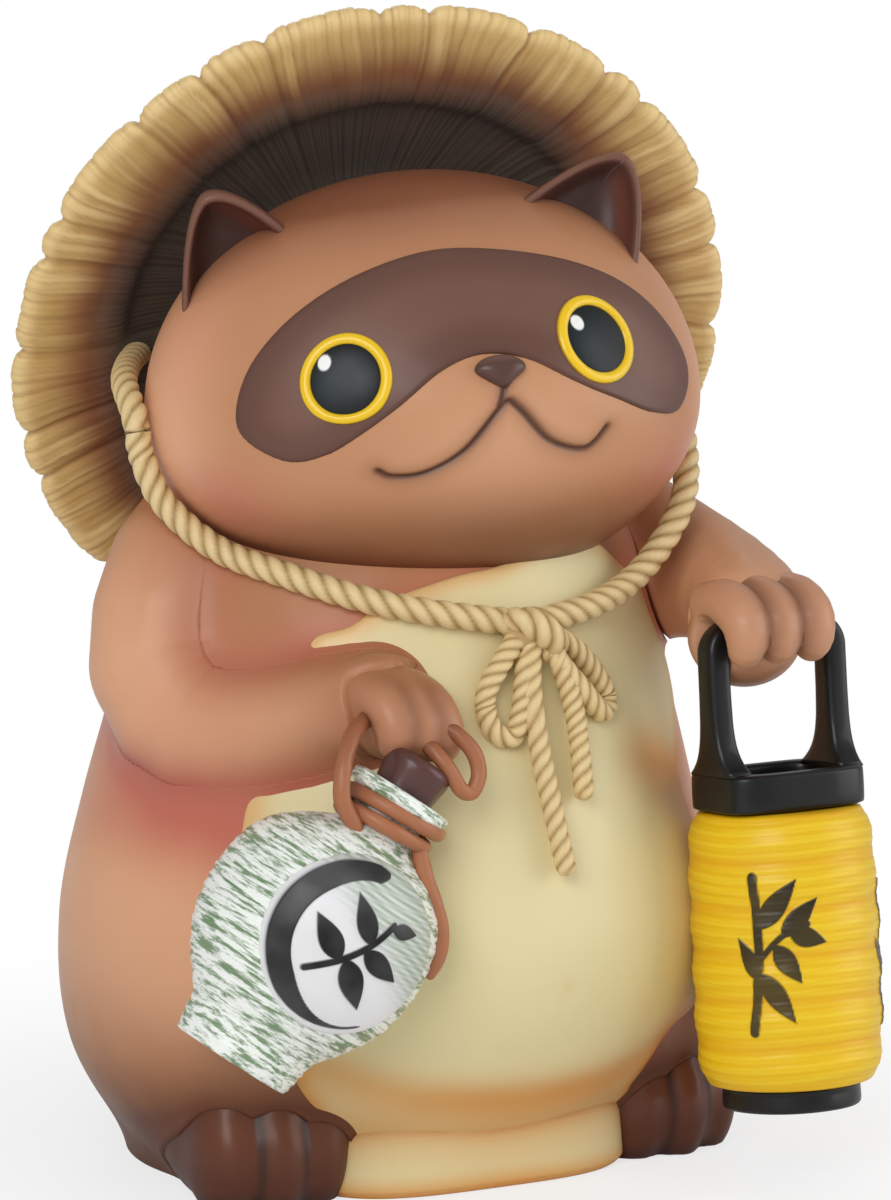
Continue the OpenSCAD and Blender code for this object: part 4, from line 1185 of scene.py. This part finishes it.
# Painted highlights of grey on the black part, along its fibres and on the sewn ring.
painted_straw_glint = under_brim_shade * (0.5 * np.exp(-np.square(fibre_gap * rho / 0.3))
    + 0.5 * np.exp(-np.square((rho - 72) / 1.2)))
# Painted shade in the grooves between bundles, straws and fibres.
deep_line = (0.75 * np.exp(-np.square(bundle_gap * rho / 0.8))
    + 0.5 * np.exp(-np.square(straw_gap * rho / 0.45)))
deep_line = np.clip(deep_line + 0.3 * np.exp(-np.square(fibre_gap * rho / 0.35)), 0, 1)
# A painted highlight on the raised straws, and the rim's light cream edge.
light_line = np.maximum(ramp(straw_lift + 2 * fibre_lift, -0.1, 0.4) * (1 - deep_line),
    0.8 * ramp(rho, 89, 93.5))
light_line, deep_line, brown, under_brim_shade, painted_straw_glint = flat_marks(
    light_line + 0 * rho, deep_line, 0.95 * brown + 0 * turn[None], under_brim_shade + 0 * turn[None],
    0.6 * painted_straw_glint + 0 * turn[None])
# Straw layers: pale is painted highlight and cream edge, line and black painted shade, brown painted shade
# under the brim with a faint tint on top, and the grey glints painted highlight.
straw_paint = sprayed_paint("straw_spray", (212, 176, 112),
    [("pale", (244, 216, 156)), ("line", (166, 124, 72)),
    ("brown", (124, 72, 50)), ("black", (74, 66, 60)), ("painted_straw_glint", (128, 116, 104))], bump=0.2,
    bump_mm=0.5, fineness=2.2, coat=0.04, mottle=0.5)
put_piece("hat_cast", [closed_skin(hat_rings)], straw_paint, ["hat"], marks={
    "pale": 0.8 * light_line, "line": 0.7 * deep_line, "brown": brown, "black": under_brim_shade,
    "painted_straw_glint": painted_straw_glint})


# Rope: a three-strand cord of cast resin, moulded on the chest in two lengths. Each comes from
# under the hat's brim and runs round under the chin to the knot.
rope_d = 6.6
rope_right_line = [[-48, 44, 203], [-60, 26, 202], [-69, 9, 200], [-72.5, -4, 194], [-72, -8, 183],
    [-68, -13, 172], [-59, -24, 162], [-48, -39, 157], [-34, -53, 152], [-18, -62, 148.5],
    [0, -66, 145.5]]
rope_left_line = [[12, -65, 145], [28, -61, 147], [42, -54.5, 151], [53, -50, 158.5], [61, -47, 169],
    [65, -41, 180], [68, -30, 190], [69, -14, 197], [66, 4, 201], [57, 22, 204]]
# Rope: pale is a painted highlight on the strands' crowns, line painted shade in their hollows.
rope_paint = sprayed_paint("rope_spray", (214, 186, 132),
    [("pale", (238, 214, 162)), ("line", (156, 120, 70))],
    bump=0.2, bump_mm=0.4, fineness=3, coat=0.03, mottle=0.45)


def twist(pitch):
    """Three strands laid round each other: the radius dips where the angle, turned once in each pitch,
    falls between two strands, and fine yarns ride on it."""
    def factor(turn, run):
        lay = turn - 2 * np.pi * run / pitch
        strand = np.abs(np.cos(1.5 * lay))
        return 0.80 + 0.24 * strand ** 0.6 + 0.012 * np.cos(24 * lay + 2 * np.pi * run / pitch)
    return factor


def rope_piece(name, line, radius, pitch, nodes):
    """A twisted cord along a line, with painted shade in its strands' hollows and a painted highlight on
    their crowns.
    """
    spine = fine(np.column_stack([line, np.full(len(line), float(radius))]), 24)
    rings = tube(spine, [0, 0.3, 1], 40, twist(pitch))
    off = rod(rings.reshape(-1, 3), spine[::6]) / radius
    off = np.append(off, [0, 0])
    put_piece(name, [closed_skin(rings)], rope_paint, nodes, marks={
        "line": 0.85 * ramp(-off, 0.02, 0.17), "pale": 0.7 * ramp(off, -0.03, 0.03)})


rope_piece("rope_right_cast", rope_right_line, rope_d / 2, 15, ["rope_right"])
rope_piece("rope_left_cast", rope_left_line, rope_d / 2, 15, ["rope_left"])


# Bow: two small loops and two tails of the same cord, gathered in a round knot. It is moulded on
# the chest, where the two lengths of rope meet.
bow_r = rope_d * 0.4
bow_lines = {
    "bow_loop_right": [[2, -68, 142], [-4, -70, 136], [-9, -71, 128], [-8, -73, 120],
        [-3, -74, 118], [0, -73, 124], [3, -70, 136]],
    "bow_loop_left": [[9, -68, 142], [18, -66, 138], [26, -64, 130], [29, -65, 123],
        [25, -69, 121], [18, -71, 128], [10, -69, 138]],
    "bow_tail_long": [[5, -69, 140], [3, -73, 128], [3, -78, 113], [4, -83, 99], [5, -87, 87]],
    "bow_tail_short": [[10, -69, 141], [14, -71, 130], [15, -75, 118], [14, -80, 104]]}
for name, line in bow_lines.items():
    rope_piece(name + "_cast", line, bow_r, 11, [name])
knot_spine = fine([[-0.5, -66, 146, 2.4], [2, -70.5, 146.4, 3.4], [7, -72, 143.5, 3.9],
    [11, -70.5, 140.4, 3.4], [13, -67, 139.5, 2.4]], 20)
knot_ball = globe([6, -67, 143], [7.6, 5.2, 5.8], 40, 60)
knot_ring = tube(knot_spine, [0, 0, 1], 40, twist(12))
knot_shells = [closed_skin(knot_ball), closed_skin(knot_ring)]
# The ball under the knot's turns is darkened all over as painted shade.
ball_marks = np.full(len(knot_shells[0][0]), 0.4)
off = np.append(rod(knot_ring.reshape(-1, 3), knot_spine[::5]) / 3.4, [0, 0])
put_piece("bow_knot_cast", knot_shells, rope_paint, ["bow_knot"], marks={
    "line": np.concatenate([ball_marks, 0.85 * ramp(-off, 0.02, 0.17)]),
    "pale": np.concatenate([0 * ball_marks, 0.7 * ramp(off, -0.03, 0.03)])})


# Jug: a glazed flask held by its cord, brushed in white over grey green, with a dark ring and a
# leaf painted thick on a white disc.
jug_h, jug_r, neck_r, label_up = 78, 29.5, 9.5, 39
jug_turned = turned([0, 35, -8])
jug_at = np.array([-82, -76, 45])
jug_rows = np.array([[0.55, 0], [0.57, 6], [0.6, 10], [0.78, 17], [0.93, 25], [0.99, 33], [1, 40],
    [0.96, 48], [0.85, 55], [0.64, 60.5]]) * [jug_r, 1]
jug_side = fine(np.vstack([[[12.5, 0.6]], [[15.4, 0.1]], jug_rows[1:],
    [[12.2, 64.3], [9.8, 66.5], [9.5, 69], [9.6, 72.2],
    [11.8, 73.8], [13.4, 75.0], [13.6, 76.6], [12.8, 77.8], [10.6, 78.0]]]), 7)
jug_side[:, 1] = np.maximum(jug_side[:, 1], 0)


def in_jug(local):
    """Points from the jug's own frame, up its axis, into place."""
    return local @ jug_turned.T + jug_at


turn = np.linspace(0, 2 * np.pi, 361)[:-1]
up_jug = jug_side[:, 1, None]
strokes = (0.30 * np.sin(2.3 * up_jug + 1.2 * np.sin(5 * turn) + 0.8 * np.sin(11 * turn))
    + 0.25 * np.sin(4.1 * up_jug - 1.5 * np.sin(7 * turn + 1))
    + 0.2 * np.sin(1.1 * up_jug + 2 * np.sin(3 * turn)))
wobble = 0.5 * np.sin(3 * turn + 0.7) * ramp(-up_jug, -12, -1)
jug_rad = jug_side[:, 0, None] + (0.45 * strokes + wobble) * ramp(jug_side[:, 0, None], 9, 15) - 0.25
jug_rings = in_jug(np.stack([jug_rad * np.cos(turn), jug_rad * np.sin(turn), up_jug + 0 * turn], -1))


def glaze_paint():
    """Green glaze with white brush strokes laid round the jug: noise drawn out round its axis, in the
    coordinates that each point carries."""
    paint = sprayed_paint("jug_glaze_brushed", (112, 142, 102), [], bump=0.15, bump_mm=0.4, coat=0.35,
        mottle=0.7, blotch=(150, 170, 142))
    nodes, links = paint.node_tree.nodes, paint.node_tree.links
    shader = nodes["Principled BSDF"]
    under = shader.inputs["Base Color"].links[0].from_socket
    where = nodes.new("ShaderNodeAttribute")
    where.attribute_name = "jug_place"
    stretch = nodes.new("ShaderNodeMapping")
    stretch.inputs["Scale"].default_value = (0.32, 0.32, 3.4)
    streak = nodes.new("ShaderNodeTexNoise")
    streak.inputs["Scale"].default_value = 7
    streak.inputs["Detail"].default_value = 5
    streak.inputs["Roughness"].default_value = 0.7
    cut = nodes.new("ShaderNodeMapRange")
    cut.inputs["From Min"].default_value = 0.42
    cut.inputs["From Max"].default_value = 0.53
    over = nodes.new("ShaderNodeMix")
    over.data_type = "RGBA"
    over.inputs["B"].default_value = tint(248, 252, 246)
    links.new(where.outputs["Vector"], stretch.inputs["Vector"])
    links.new(stretch.outputs[0], streak.inputs["Vector"])
    links.new(streak.outputs["Fac"], cut.inputs["Value"])
    links.new(cut.outputs[0], over.inputs["Factor"])
    links.new(under, over.inputs["A"])
    links.new(over.outputs["Result"], shader.inputs["Base Color"])
    return paint


jug_paint = glaze_paint()
jug_piece = put_piece("jug_cast", [closed_skin(jug_rings)], jug_paint, ["jug_body"])


def place_attribute(thing, name, places):
    """Writes a vector for each point of a piece, for a pattern that follows its surface."""
    thing.data.attributes.new(name, "FLOAT_VECTOR", "POINT").data.foreach_set("vector",
        np.asarray(places, np.float32).reshape(-1))


unit_turn = np.stack([np.cos(turn) + 0 * up_jug, np.sin(turn) + 0 * up_jug, up_jug / 30 + 0 * turn],
    -1).reshape(-1, 3)
place_attribute(jug_piece, "jug_place", np.vstack([unit_turn, [[0, 0, 0], [0, 0, 2.6]]]))

label_r = 22
across = np.concatenate([[22.3, 22.0, 21.9, 21.7, 21.4], np.linspace(21.1, 0.2, 84)])[:, None]
turn = np.linspace(0, 2 * np.pi, 421)[:-1][None]
lx, lz = across * np.cos(turn), across * np.sin(turn)


def leaf(x, y, base, tip, width):
    """1 inside a leaf from base to tip, widest before its middle, and 0 outside: half its width times
    the sine of pi times the share of the way to the 0.75, less the distance from its rib."""
    base, run = np.array(base, float), np.array(tip, float) - base
    size = np.hypot(*run)
    s = ((x - base[0]) * run[0] + (y - base[1]) * run[1]) / size**2
    off = np.abs((x - base[0]) * run[1] - (y - base[1]) * run[0]) / size
    half = width * np.sin(np.pi * np.clip(s, 0, 1) ** 0.75)
    return ramp(half - off, -0.18, 0.18) * (s > 0) * (s < 1)


def brush_line(x, y, line, width):
    """1 within a brush's width of a line and 0 outside."""
    q = np.stack([x.reshape(-1), y.reshape(-1)], 1)
    line = fine(line, 8)
    return (1 - ramp(to_line(q, np.vstack([line, line[::-1]])), width - 0.2,
        width + 0.2)).reshape(x.shape)


local_turn = np.degrees(np.arctan2(lz, lx)) % 360
window = np.sqrt(np.clip((local_turn - 90) / 9, 0, 1)) * (0.75 + 0.25 * ramp(local_turn, 100, 150)) * (1
    - 0.85 * ramp(local_turn, 225, 300))
ring_half = 2.75 * window * np.sqrt(np.clip((312 - local_turn) / 5, 0, 1))
arc = ramp(ring_half - np.abs(across - (18.6 + 0.5 * (2.75 - ring_half))), -0.15,
    0.15) * (ring_half > 0.05)
stem = brush_line(lx, lz, [[-9, -10], [-3, -4], [2, 3], [5, 10]], 0.9)
leaves = [leaf(lx, lz, [-3, -4], [-13.5, 3], 3.0), leaf(lx, lz, [-2, -3], [9, -12], 3.2),
    leaf(lx, lz, [1, 1], [13.5, -1.5], 2.8),
    leaf(lx, lz, [2, 3], [-7, 12.5], 2.8), leaf(lx, lz, [5, 9], [12.5, 11], 2.0)]
ink = np.max([arc, stem] + leaves, axis=0)
out = 0.9 * np.sqrt(1 - np.square(1 - np.clip((label_r - across) / 1.0, 0, 1))) + 0.55 * ink
out = np.where(across > 22.1, -1.2, out)
round_at = np.interp(label_up + lz, jug_side[:, 1], jug_side[:, 0]) - 0.2 + out
label_y = -np.sqrt(np.maximum(round_at**2 - lx**2, 1))
label_rings = in_jug(np.stack([lx, label_y, label_up + lz], -1))
label_back = in_jug(np.stack([lx[0] * 0.6, label_y[0] * 0.35, label_up + lz[0] * 0.6], -1))
label_rings = np.concatenate([label_back[None], label_rings])
streaks = 0.5 + 0.28 * np.sin(3.1 * lz + 0.35 * lx
    + 0.9 * np.sin(0.31 * lx + 1)) + 0.22 * np.sin(5.3 * lz - 0.4 * lx + 1.3 * np.sin(0.23 * lx))
grey = np.clip(ramp(0.5 * lx + lz, 0, 12) * (0.2 + 0.8 * streaks), 0, 1) * (1 - ink)
ink_all = np.concatenate([0 * ink[:1], ink])
grey_all = np.concatenate([0 * grey[:1], grey])
label_paint = enamel("label_white_enamel", (238, 238, 240),
    [("grey", (150, 170, 142)), ("ink", (10, 12, 14))], 0.2, 0.15)
ink_all, grey_all = flat_marks(ink_all, grey_all)
put_piece("jug_label_cast", [closed_skin(label_rings)], label_paint, ["jug_label"],
    marks={"ink": ink_all, "grey": grey_all})


# Jug's stopper and cords: a dark wooden plug in the neck, two turns of brown cord round it, and
# the strap and the loop that the fingers hold.
stopper_rows = fine([[7.2, 70], [7.8, 76], [8.3, 80], [8.9, 84], [8.7, 85.7], [7.6, 86.8], [5, 87.3],
    [1, 87.5]], 7)
turn = np.linspace(0, 2 * np.pi, 97)[:-1]
grain = 0.12 * np.sin(2 * turn) + 0.08 * np.sin(5 * turn + 1)
sr = stopper_rows[:, 0, None] + grain * ramp(stopper_rows[:, 0, None], 4, 7) - 0.1
stopper_rings = in_jug(np.stack([sr * np.cos(turn), sr * np.sin(turn),
    stopper_rows[:, 1, None] + 0 * turn], -1))
stopper_paint = enamel("stopper_enamel", (88, 54, 50), [("line", (54, 32, 30))], 0.2, 0.4)
# Painted shade low on the stopper, where it sits down in the jug's lip.
stopper_line, = flat_marks(0.9 * ramp(-stopper_rows[:, 1, None], -81, -77) + 0 * turn)
put_piece("jug_stopper_cast", [closed_skin(stopper_rings)], stopper_paint, ["jug_stopper"],
    marks={"line": stopper_line})

cord_d = 4.6
cord_paint = sprayed_paint("jug_cord_spray", (158, 98, 66),
    [("pale", (186, 122, 86)), ("line", (92, 50, 30))],
    bump=0.15, coat=0.1, fineness=2, mottle=0.5)
wind = np.linspace(0, 4.1 * np.pi, 200)
wind_high = jug_h - 12.8 + wind / (2 * np.pi) * 4.4
wind_out = np.maximum(np.interp(wind_high, jug_side[:, 1], jug_side[:, 0]) + 0.9,
    neck_r + cord_d / 2 - 0.6)
wind_rows = in_jug(np.stack([wind_out * np.cos(wind), wind_out * np.sin(wind), wind_high], -1))
cord_lines = {
    "jug_cord": wind_rows,
    "jug_strap": fine([[-54, -88, 103], [-57.5, -88, 110], [-56, -86, 118], [-51, -81, 124],
        [-44, -74, 126]], 16),
    "jug_loop": fine([[-31, -77, 125.5], [-27.5, -81, 124.6], [-23.8, -85, 122],
        [-20.8, -87.5, 117.5], [-20.2, -88.5, 112.5], [-22.3, -89, 108.6], [-25.3, -89, 109.4],
        [-27.2, -88.5, 112.8], [-29.3, -87, 116.6], [-31.5, -83.5, 120], [-33, -79, 122]], 10)}
shoulder = in_jug(np.array([[9, -8, 67.5], [13.4, -9.2, 63], [18.4, -10.2, 58.8], [23.2, -11.2, 54],
    [26, -12.2, 48.5], [26.8, -12.4, 44]]))
cord_end = fine(np.column_stack([shoulder, [1.9, 2.2, 2.4, 2.4, 2.2, 1.4]]), 8)


def cord_swell(turn, run):
    """The cord's hand-rolled clay: slow low swells round and along it."""
    return 1 + 0.03 * np.sin(2 * turn + run / 3) + 0.015 * np.sin(5 * turn - run)


for name, line in cord_lines.items():
    radius = {"jug_cord": 1.95, "jug_strap": 2.1, "jug_loop": 2.0}[name]
    spine = np.column_stack([line, np.full(len(line), radius)])
    side = jug_turned[:, 2] if name == "jug_cord" else [0.3, -0.9, 0.2]
    cord_skins = [closed_skin(tube(spine, side, 32, cord_swell))]
    if name == "jug_cord":
        cord_skins.append(closed_skin(tube(cord_end, jug_turned[:, 1], 32, cord_swell)))
    # Painted highlight on the cords' front, painted shade where they meet the paw and the belly.
    put_piece(name + "_cast", cord_skins, cord_paint, [name], marks={
        "pale": lambda p: 0.6 * ramp(-p[:, 1], 84, 92),
        "line": lambda p: 0.5 * np.exp(-np.abs(melt([right_paw(p), trunk(p) - 1.6], 0.5)) / 1.2)})


# Lantern: a ribbed paper body that hangs from the bar by its black frame. It swings as one piece
# about the bar, so everything here rides on the lantern.
lantern_r, lantern_h, lantern_ribs = 24.4, 70, 6
lantern_turned = turned([-6, 0, 0])
frame_top, frame_h = -35, 10
paper_top = frame_top - frame_h
paper_bottom = paper_top - lantern_h


def in_lantern(local):
    """Points from the lantern's own frame, whose X axis is the bar, into place."""
    return local @ lantern_turned.T + bar_at


rib = lantern_h / lantern_ribs
paper_z = np.linspace(0.6, lantern_h - 0.6, 250)
swell = lantern_r - 0.7 + 0.3 * np.cos(2 * np.pi * paper_z / rib
    + np.pi) - 3 * np.abs(2 * paper_z / lantern_h - 1) ** 8
paper_side = np.vstack([[[14, 0.2], [18, 0.05], [swell[0] - 1.4, 0.15]],
    np.column_stack([swell, paper_z]),
    [[swell[-1] - 1.4, lantern_h - 0.15], [18, lantern_h - 0.05], [14, lantern_h - 0.2]]])
turn = np.linspace(0, 2 * np.pi, 385)[:-1]
turn_all = turn[None] + 0 * paper_side[:, :1]
high = paper_side[:, 1, None] + 0 * turn[None]
face_at = np.radians(-90 - 30)
ink = 0 * turn_all
for middle, lift, size in ((face_at, 37, 1.0), (face_at + 1.75, 34, 0.9), (face_at + 3.6, 36, 1.0)):
    u = ((turn_all - middle + np.pi) % (2 * np.pi) - np.pi) * lantern_r / size
    v = (high - lift) / size
    marks = [brush_line(u, v, [[-9, -21], [-7.5, -8], [-7, 4], [-8, 18]], 1.3),
        brush_line(u, v, [[-7, -3], [-1, 3], [6, 6]], 0.8), leaf(u, v, [-7, 5], [3.5, 17.5], 2.9),
        leaf(u, v, [-1, 3], [9, 12.5], 2.6), leaf(u, v, [1, 4], [11, 1], 2.7),
        leaf(u, v, [-3, 1], [4, -9], 2.8), leaf(u, v, [-7, -6], [2, -19], 2.9),
        leaf(u, v, [-7, -8], [-12.5, 3], 2.2)]
    ink = np.maximum(ink, np.max(marks, axis=0))
flow = (0.5 * np.sin(high * 2.1 + 1.8 * np.sin(turn_all * 2 + high / 9))
    + 0.3 * np.sin(high * 4.7 - 2 * np.sin(turn_all * 3))
    + 0.2 * np.sin(high * 9.1 + 3 * np.sin(turn_all * 5 + 1)))
paper_rad = paper_side[:, :1] + (0.12 * flow + 0.5 * ink) * ramp(paper_side[:, :1], 18, 22) - 0.2
paper_rings = in_lantern(np.stack([paper_rad * np.cos(turn_all), paper_rad * np.sin(turn_all),
    high + paper_bottom], -1))
# Painted shade in the valleys between the ribs.
valley = np.exp(-np.square((high % rib - 0) / 1.6)) + np.exp(-np.square((high % rib - rib) / 1.6))
ink, flow_mark, valley = flat_marks(ink, np.clip(0.35 + 0.55 * flow, 0, 1), np.clip(valley, 0, 1))
paper_paint = enamel("lantern_yellow_enamel", (240, 192, 8), [
    ("stroke", (252, 222, 52)), ("valley", (232, 164, 8)), ("ink", (12, 13, 14))], 0.25, 0.2)
put_piece("lantern_paper_cast", [closed_skin(paper_rings)], paper_paint,
    ["lantern_paper"], "lantern", {"ink": ink, "stroke": 0.7 * flow_mark, "valley": 0.5 * valley})


# Lantern's frame: a black rounded tray on the paper, with the yellow of the paper seen in its
# sunk top, a handle of two posts and a bar in one piece, and a foot ring underneath.
# Black enamel, with gold paint for the tray's sunk top and a grey layer that is a painted sheen.
black_paint = enamel("lantern_black_enamel", (12, 14, 16),
    [("gold", (206, 158, 36)), ("painted_sheen", (32, 35, 36))], 0.15, 0.25)


def rounded_ring(half_w, half_d, corner, count):
    """Points round a rectangle with rounded corners: a superellipse whose power grows as the corner
    shrinks."""
    power = 2 / (2 + 1.3 * min(half_w, half_d) / corner)
    t = np.linspace(0, 2 * np.pi, count + 1)[:-1]
    return np.stack([half_w * np.sign(np.cos(t)) * np.abs(np.cos(t)) ** power,
        half_d * np.sign(np.sin(t)) * np.abs(np.sin(t)) ** power], 1)


tray_steps = [[18.6, 13.2, 9, 0.1], [19.8, 14.4, 9, 0.5], [20.2, 14.9, 9, 1.6], [20.2, 14.9, 9, 8.2],
    [19.9, 14.6, 9, 9.5], [19.0, 13.4, 8, 10.0], [14.9, 11.2, 6, 10.0], [14.0, 10.4, 5, 9.4],
    [13.8, 10.1, 5, 8.2], [13.7, 10, 5, 3.6], [12.8, 9.2, 5, 3.05], [6, 5, 3, 3.0], [1, 1, 1, 3.0]]
tray_rows = fine(tray_steps, 4)
tray_local = np.stack([np.column_stack([rounded_ring(w, d, c, 160), np.full(160, h + paper_top)]) for w,
    d, c, h in tray_rows])
tray_skin = closed_skin(in_lantern(tray_local))
tray_gold, = flat_marks(np.repeat(ramp(-tray_rows[:, 3], -4.2, -3.4)[:, None]
    * (np.arange(len(tray_rows)) > 30)[:, None], 160, 1))
# Painted sheen along the top of the tray's rim.
put_piece("lantern_frame_cast", [tray_skin], black_paint, ["lantern_frame"], "lantern",
    {"gold": tray_gold, "painted_sheen": lambda p: 0.35 * ramp(((p - bar_at) @ lantern_turned)[:, 2],
    frame_top - 1.4, frame_top)})

bend = np.linspace(0, np.pi / 2, 14)[1:-1]
corner = 5.0
post_line = [[-post_x, frame_top - 0.5 + step * 1.5, 1] for step in range(10)] + [[-post_x, -16, 1],
    [-post_x, -corner, 1]]
post_line += [[-post_x + corner * (1 - np.cos(b)), -corner + corner * np.sin(b), 1 - b / (np.pi / 2)]
    for b in bend]
post_line += [[-post_x + corner, 0, 0], [0, 0, 0]]
post_line = np.array(post_line)
post_line = np.vstack([post_line, (post_line * [-1, 1, 1])[:-1][::-1]])
handle_rings = []
ahead = np.gradient(post_line[:, :2], axis=0)
ahead /= np.linalg.norm(ahead, axis=1)[:, None]
for (x, z, post), (ax, az2) in zip(post_line, ahead):
    flare = post * np.exp(-(z - frame_top) / 4.5)
    section = rounded_ring(3.4 - 0.2 * post + 1.0 * flare, 3.4 + 0.5 * post + 6.5 * flare,
        3.4 - 1.2 * post, 48)
    inward = -1.0 * flare * np.sign(x)
    handle_rings.append(np.column_stack([x + inward + section[:, 0] * az2, section[:, 1],
        z - section[:, 0] * ax]))
# An even faint painted sheen over the whole handle.
put_piece("lantern_handle_cast", [closed_skin(in_lantern(np.array(handle_rings)))], black_paint,
    ["lantern_handle"], "lantern", {"gold": lambda p: 0 * p[:, 0],
    "painted_sheen": lambda p: 0.12 + 0 * p[:, 0]})

foot_side = fine([[6, 2.9], [13.4, 2.9], [14.5, 2.4], [14.7, 0.7], [15.2, 0.1], [16.6, 0.1], [17.5, 0.7],
    [17.7, 1.8], [17.6, 4.5], [17.4, 5.9], [12, 6.3], [4, 6.3]], 6)
turn = np.linspace(0, 2 * np.pi, 181)[:-1]
foot_rad = foot_side[:, :1] + 0.12 * np.sin(5 * turn) * ramp(foot_side[:, :1], 15, 17) - 0.12
foot_rings = in_lantern(np.stack([foot_rad * np.cos(turn), foot_rad * np.sin(turn),
    foot_side[:, 1:] + paper_bottom - 6 + 0 * turn], -1))
# Painted sheen on the bottom face of the foot ring.
put_piece("lantern_foot_cast", [closed_skin(foot_rings)], black_paint, ["lantern_foot"],
    "lantern", {"gold": lambda p: 0 * p[:, 0], "painted_sheen": lambda p: 0.3
    * ramp(-((p - bar_at) @ lantern_turned)[:, 2], -paper_bottom + 5, -paper_bottom + 6)})


low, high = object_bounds()
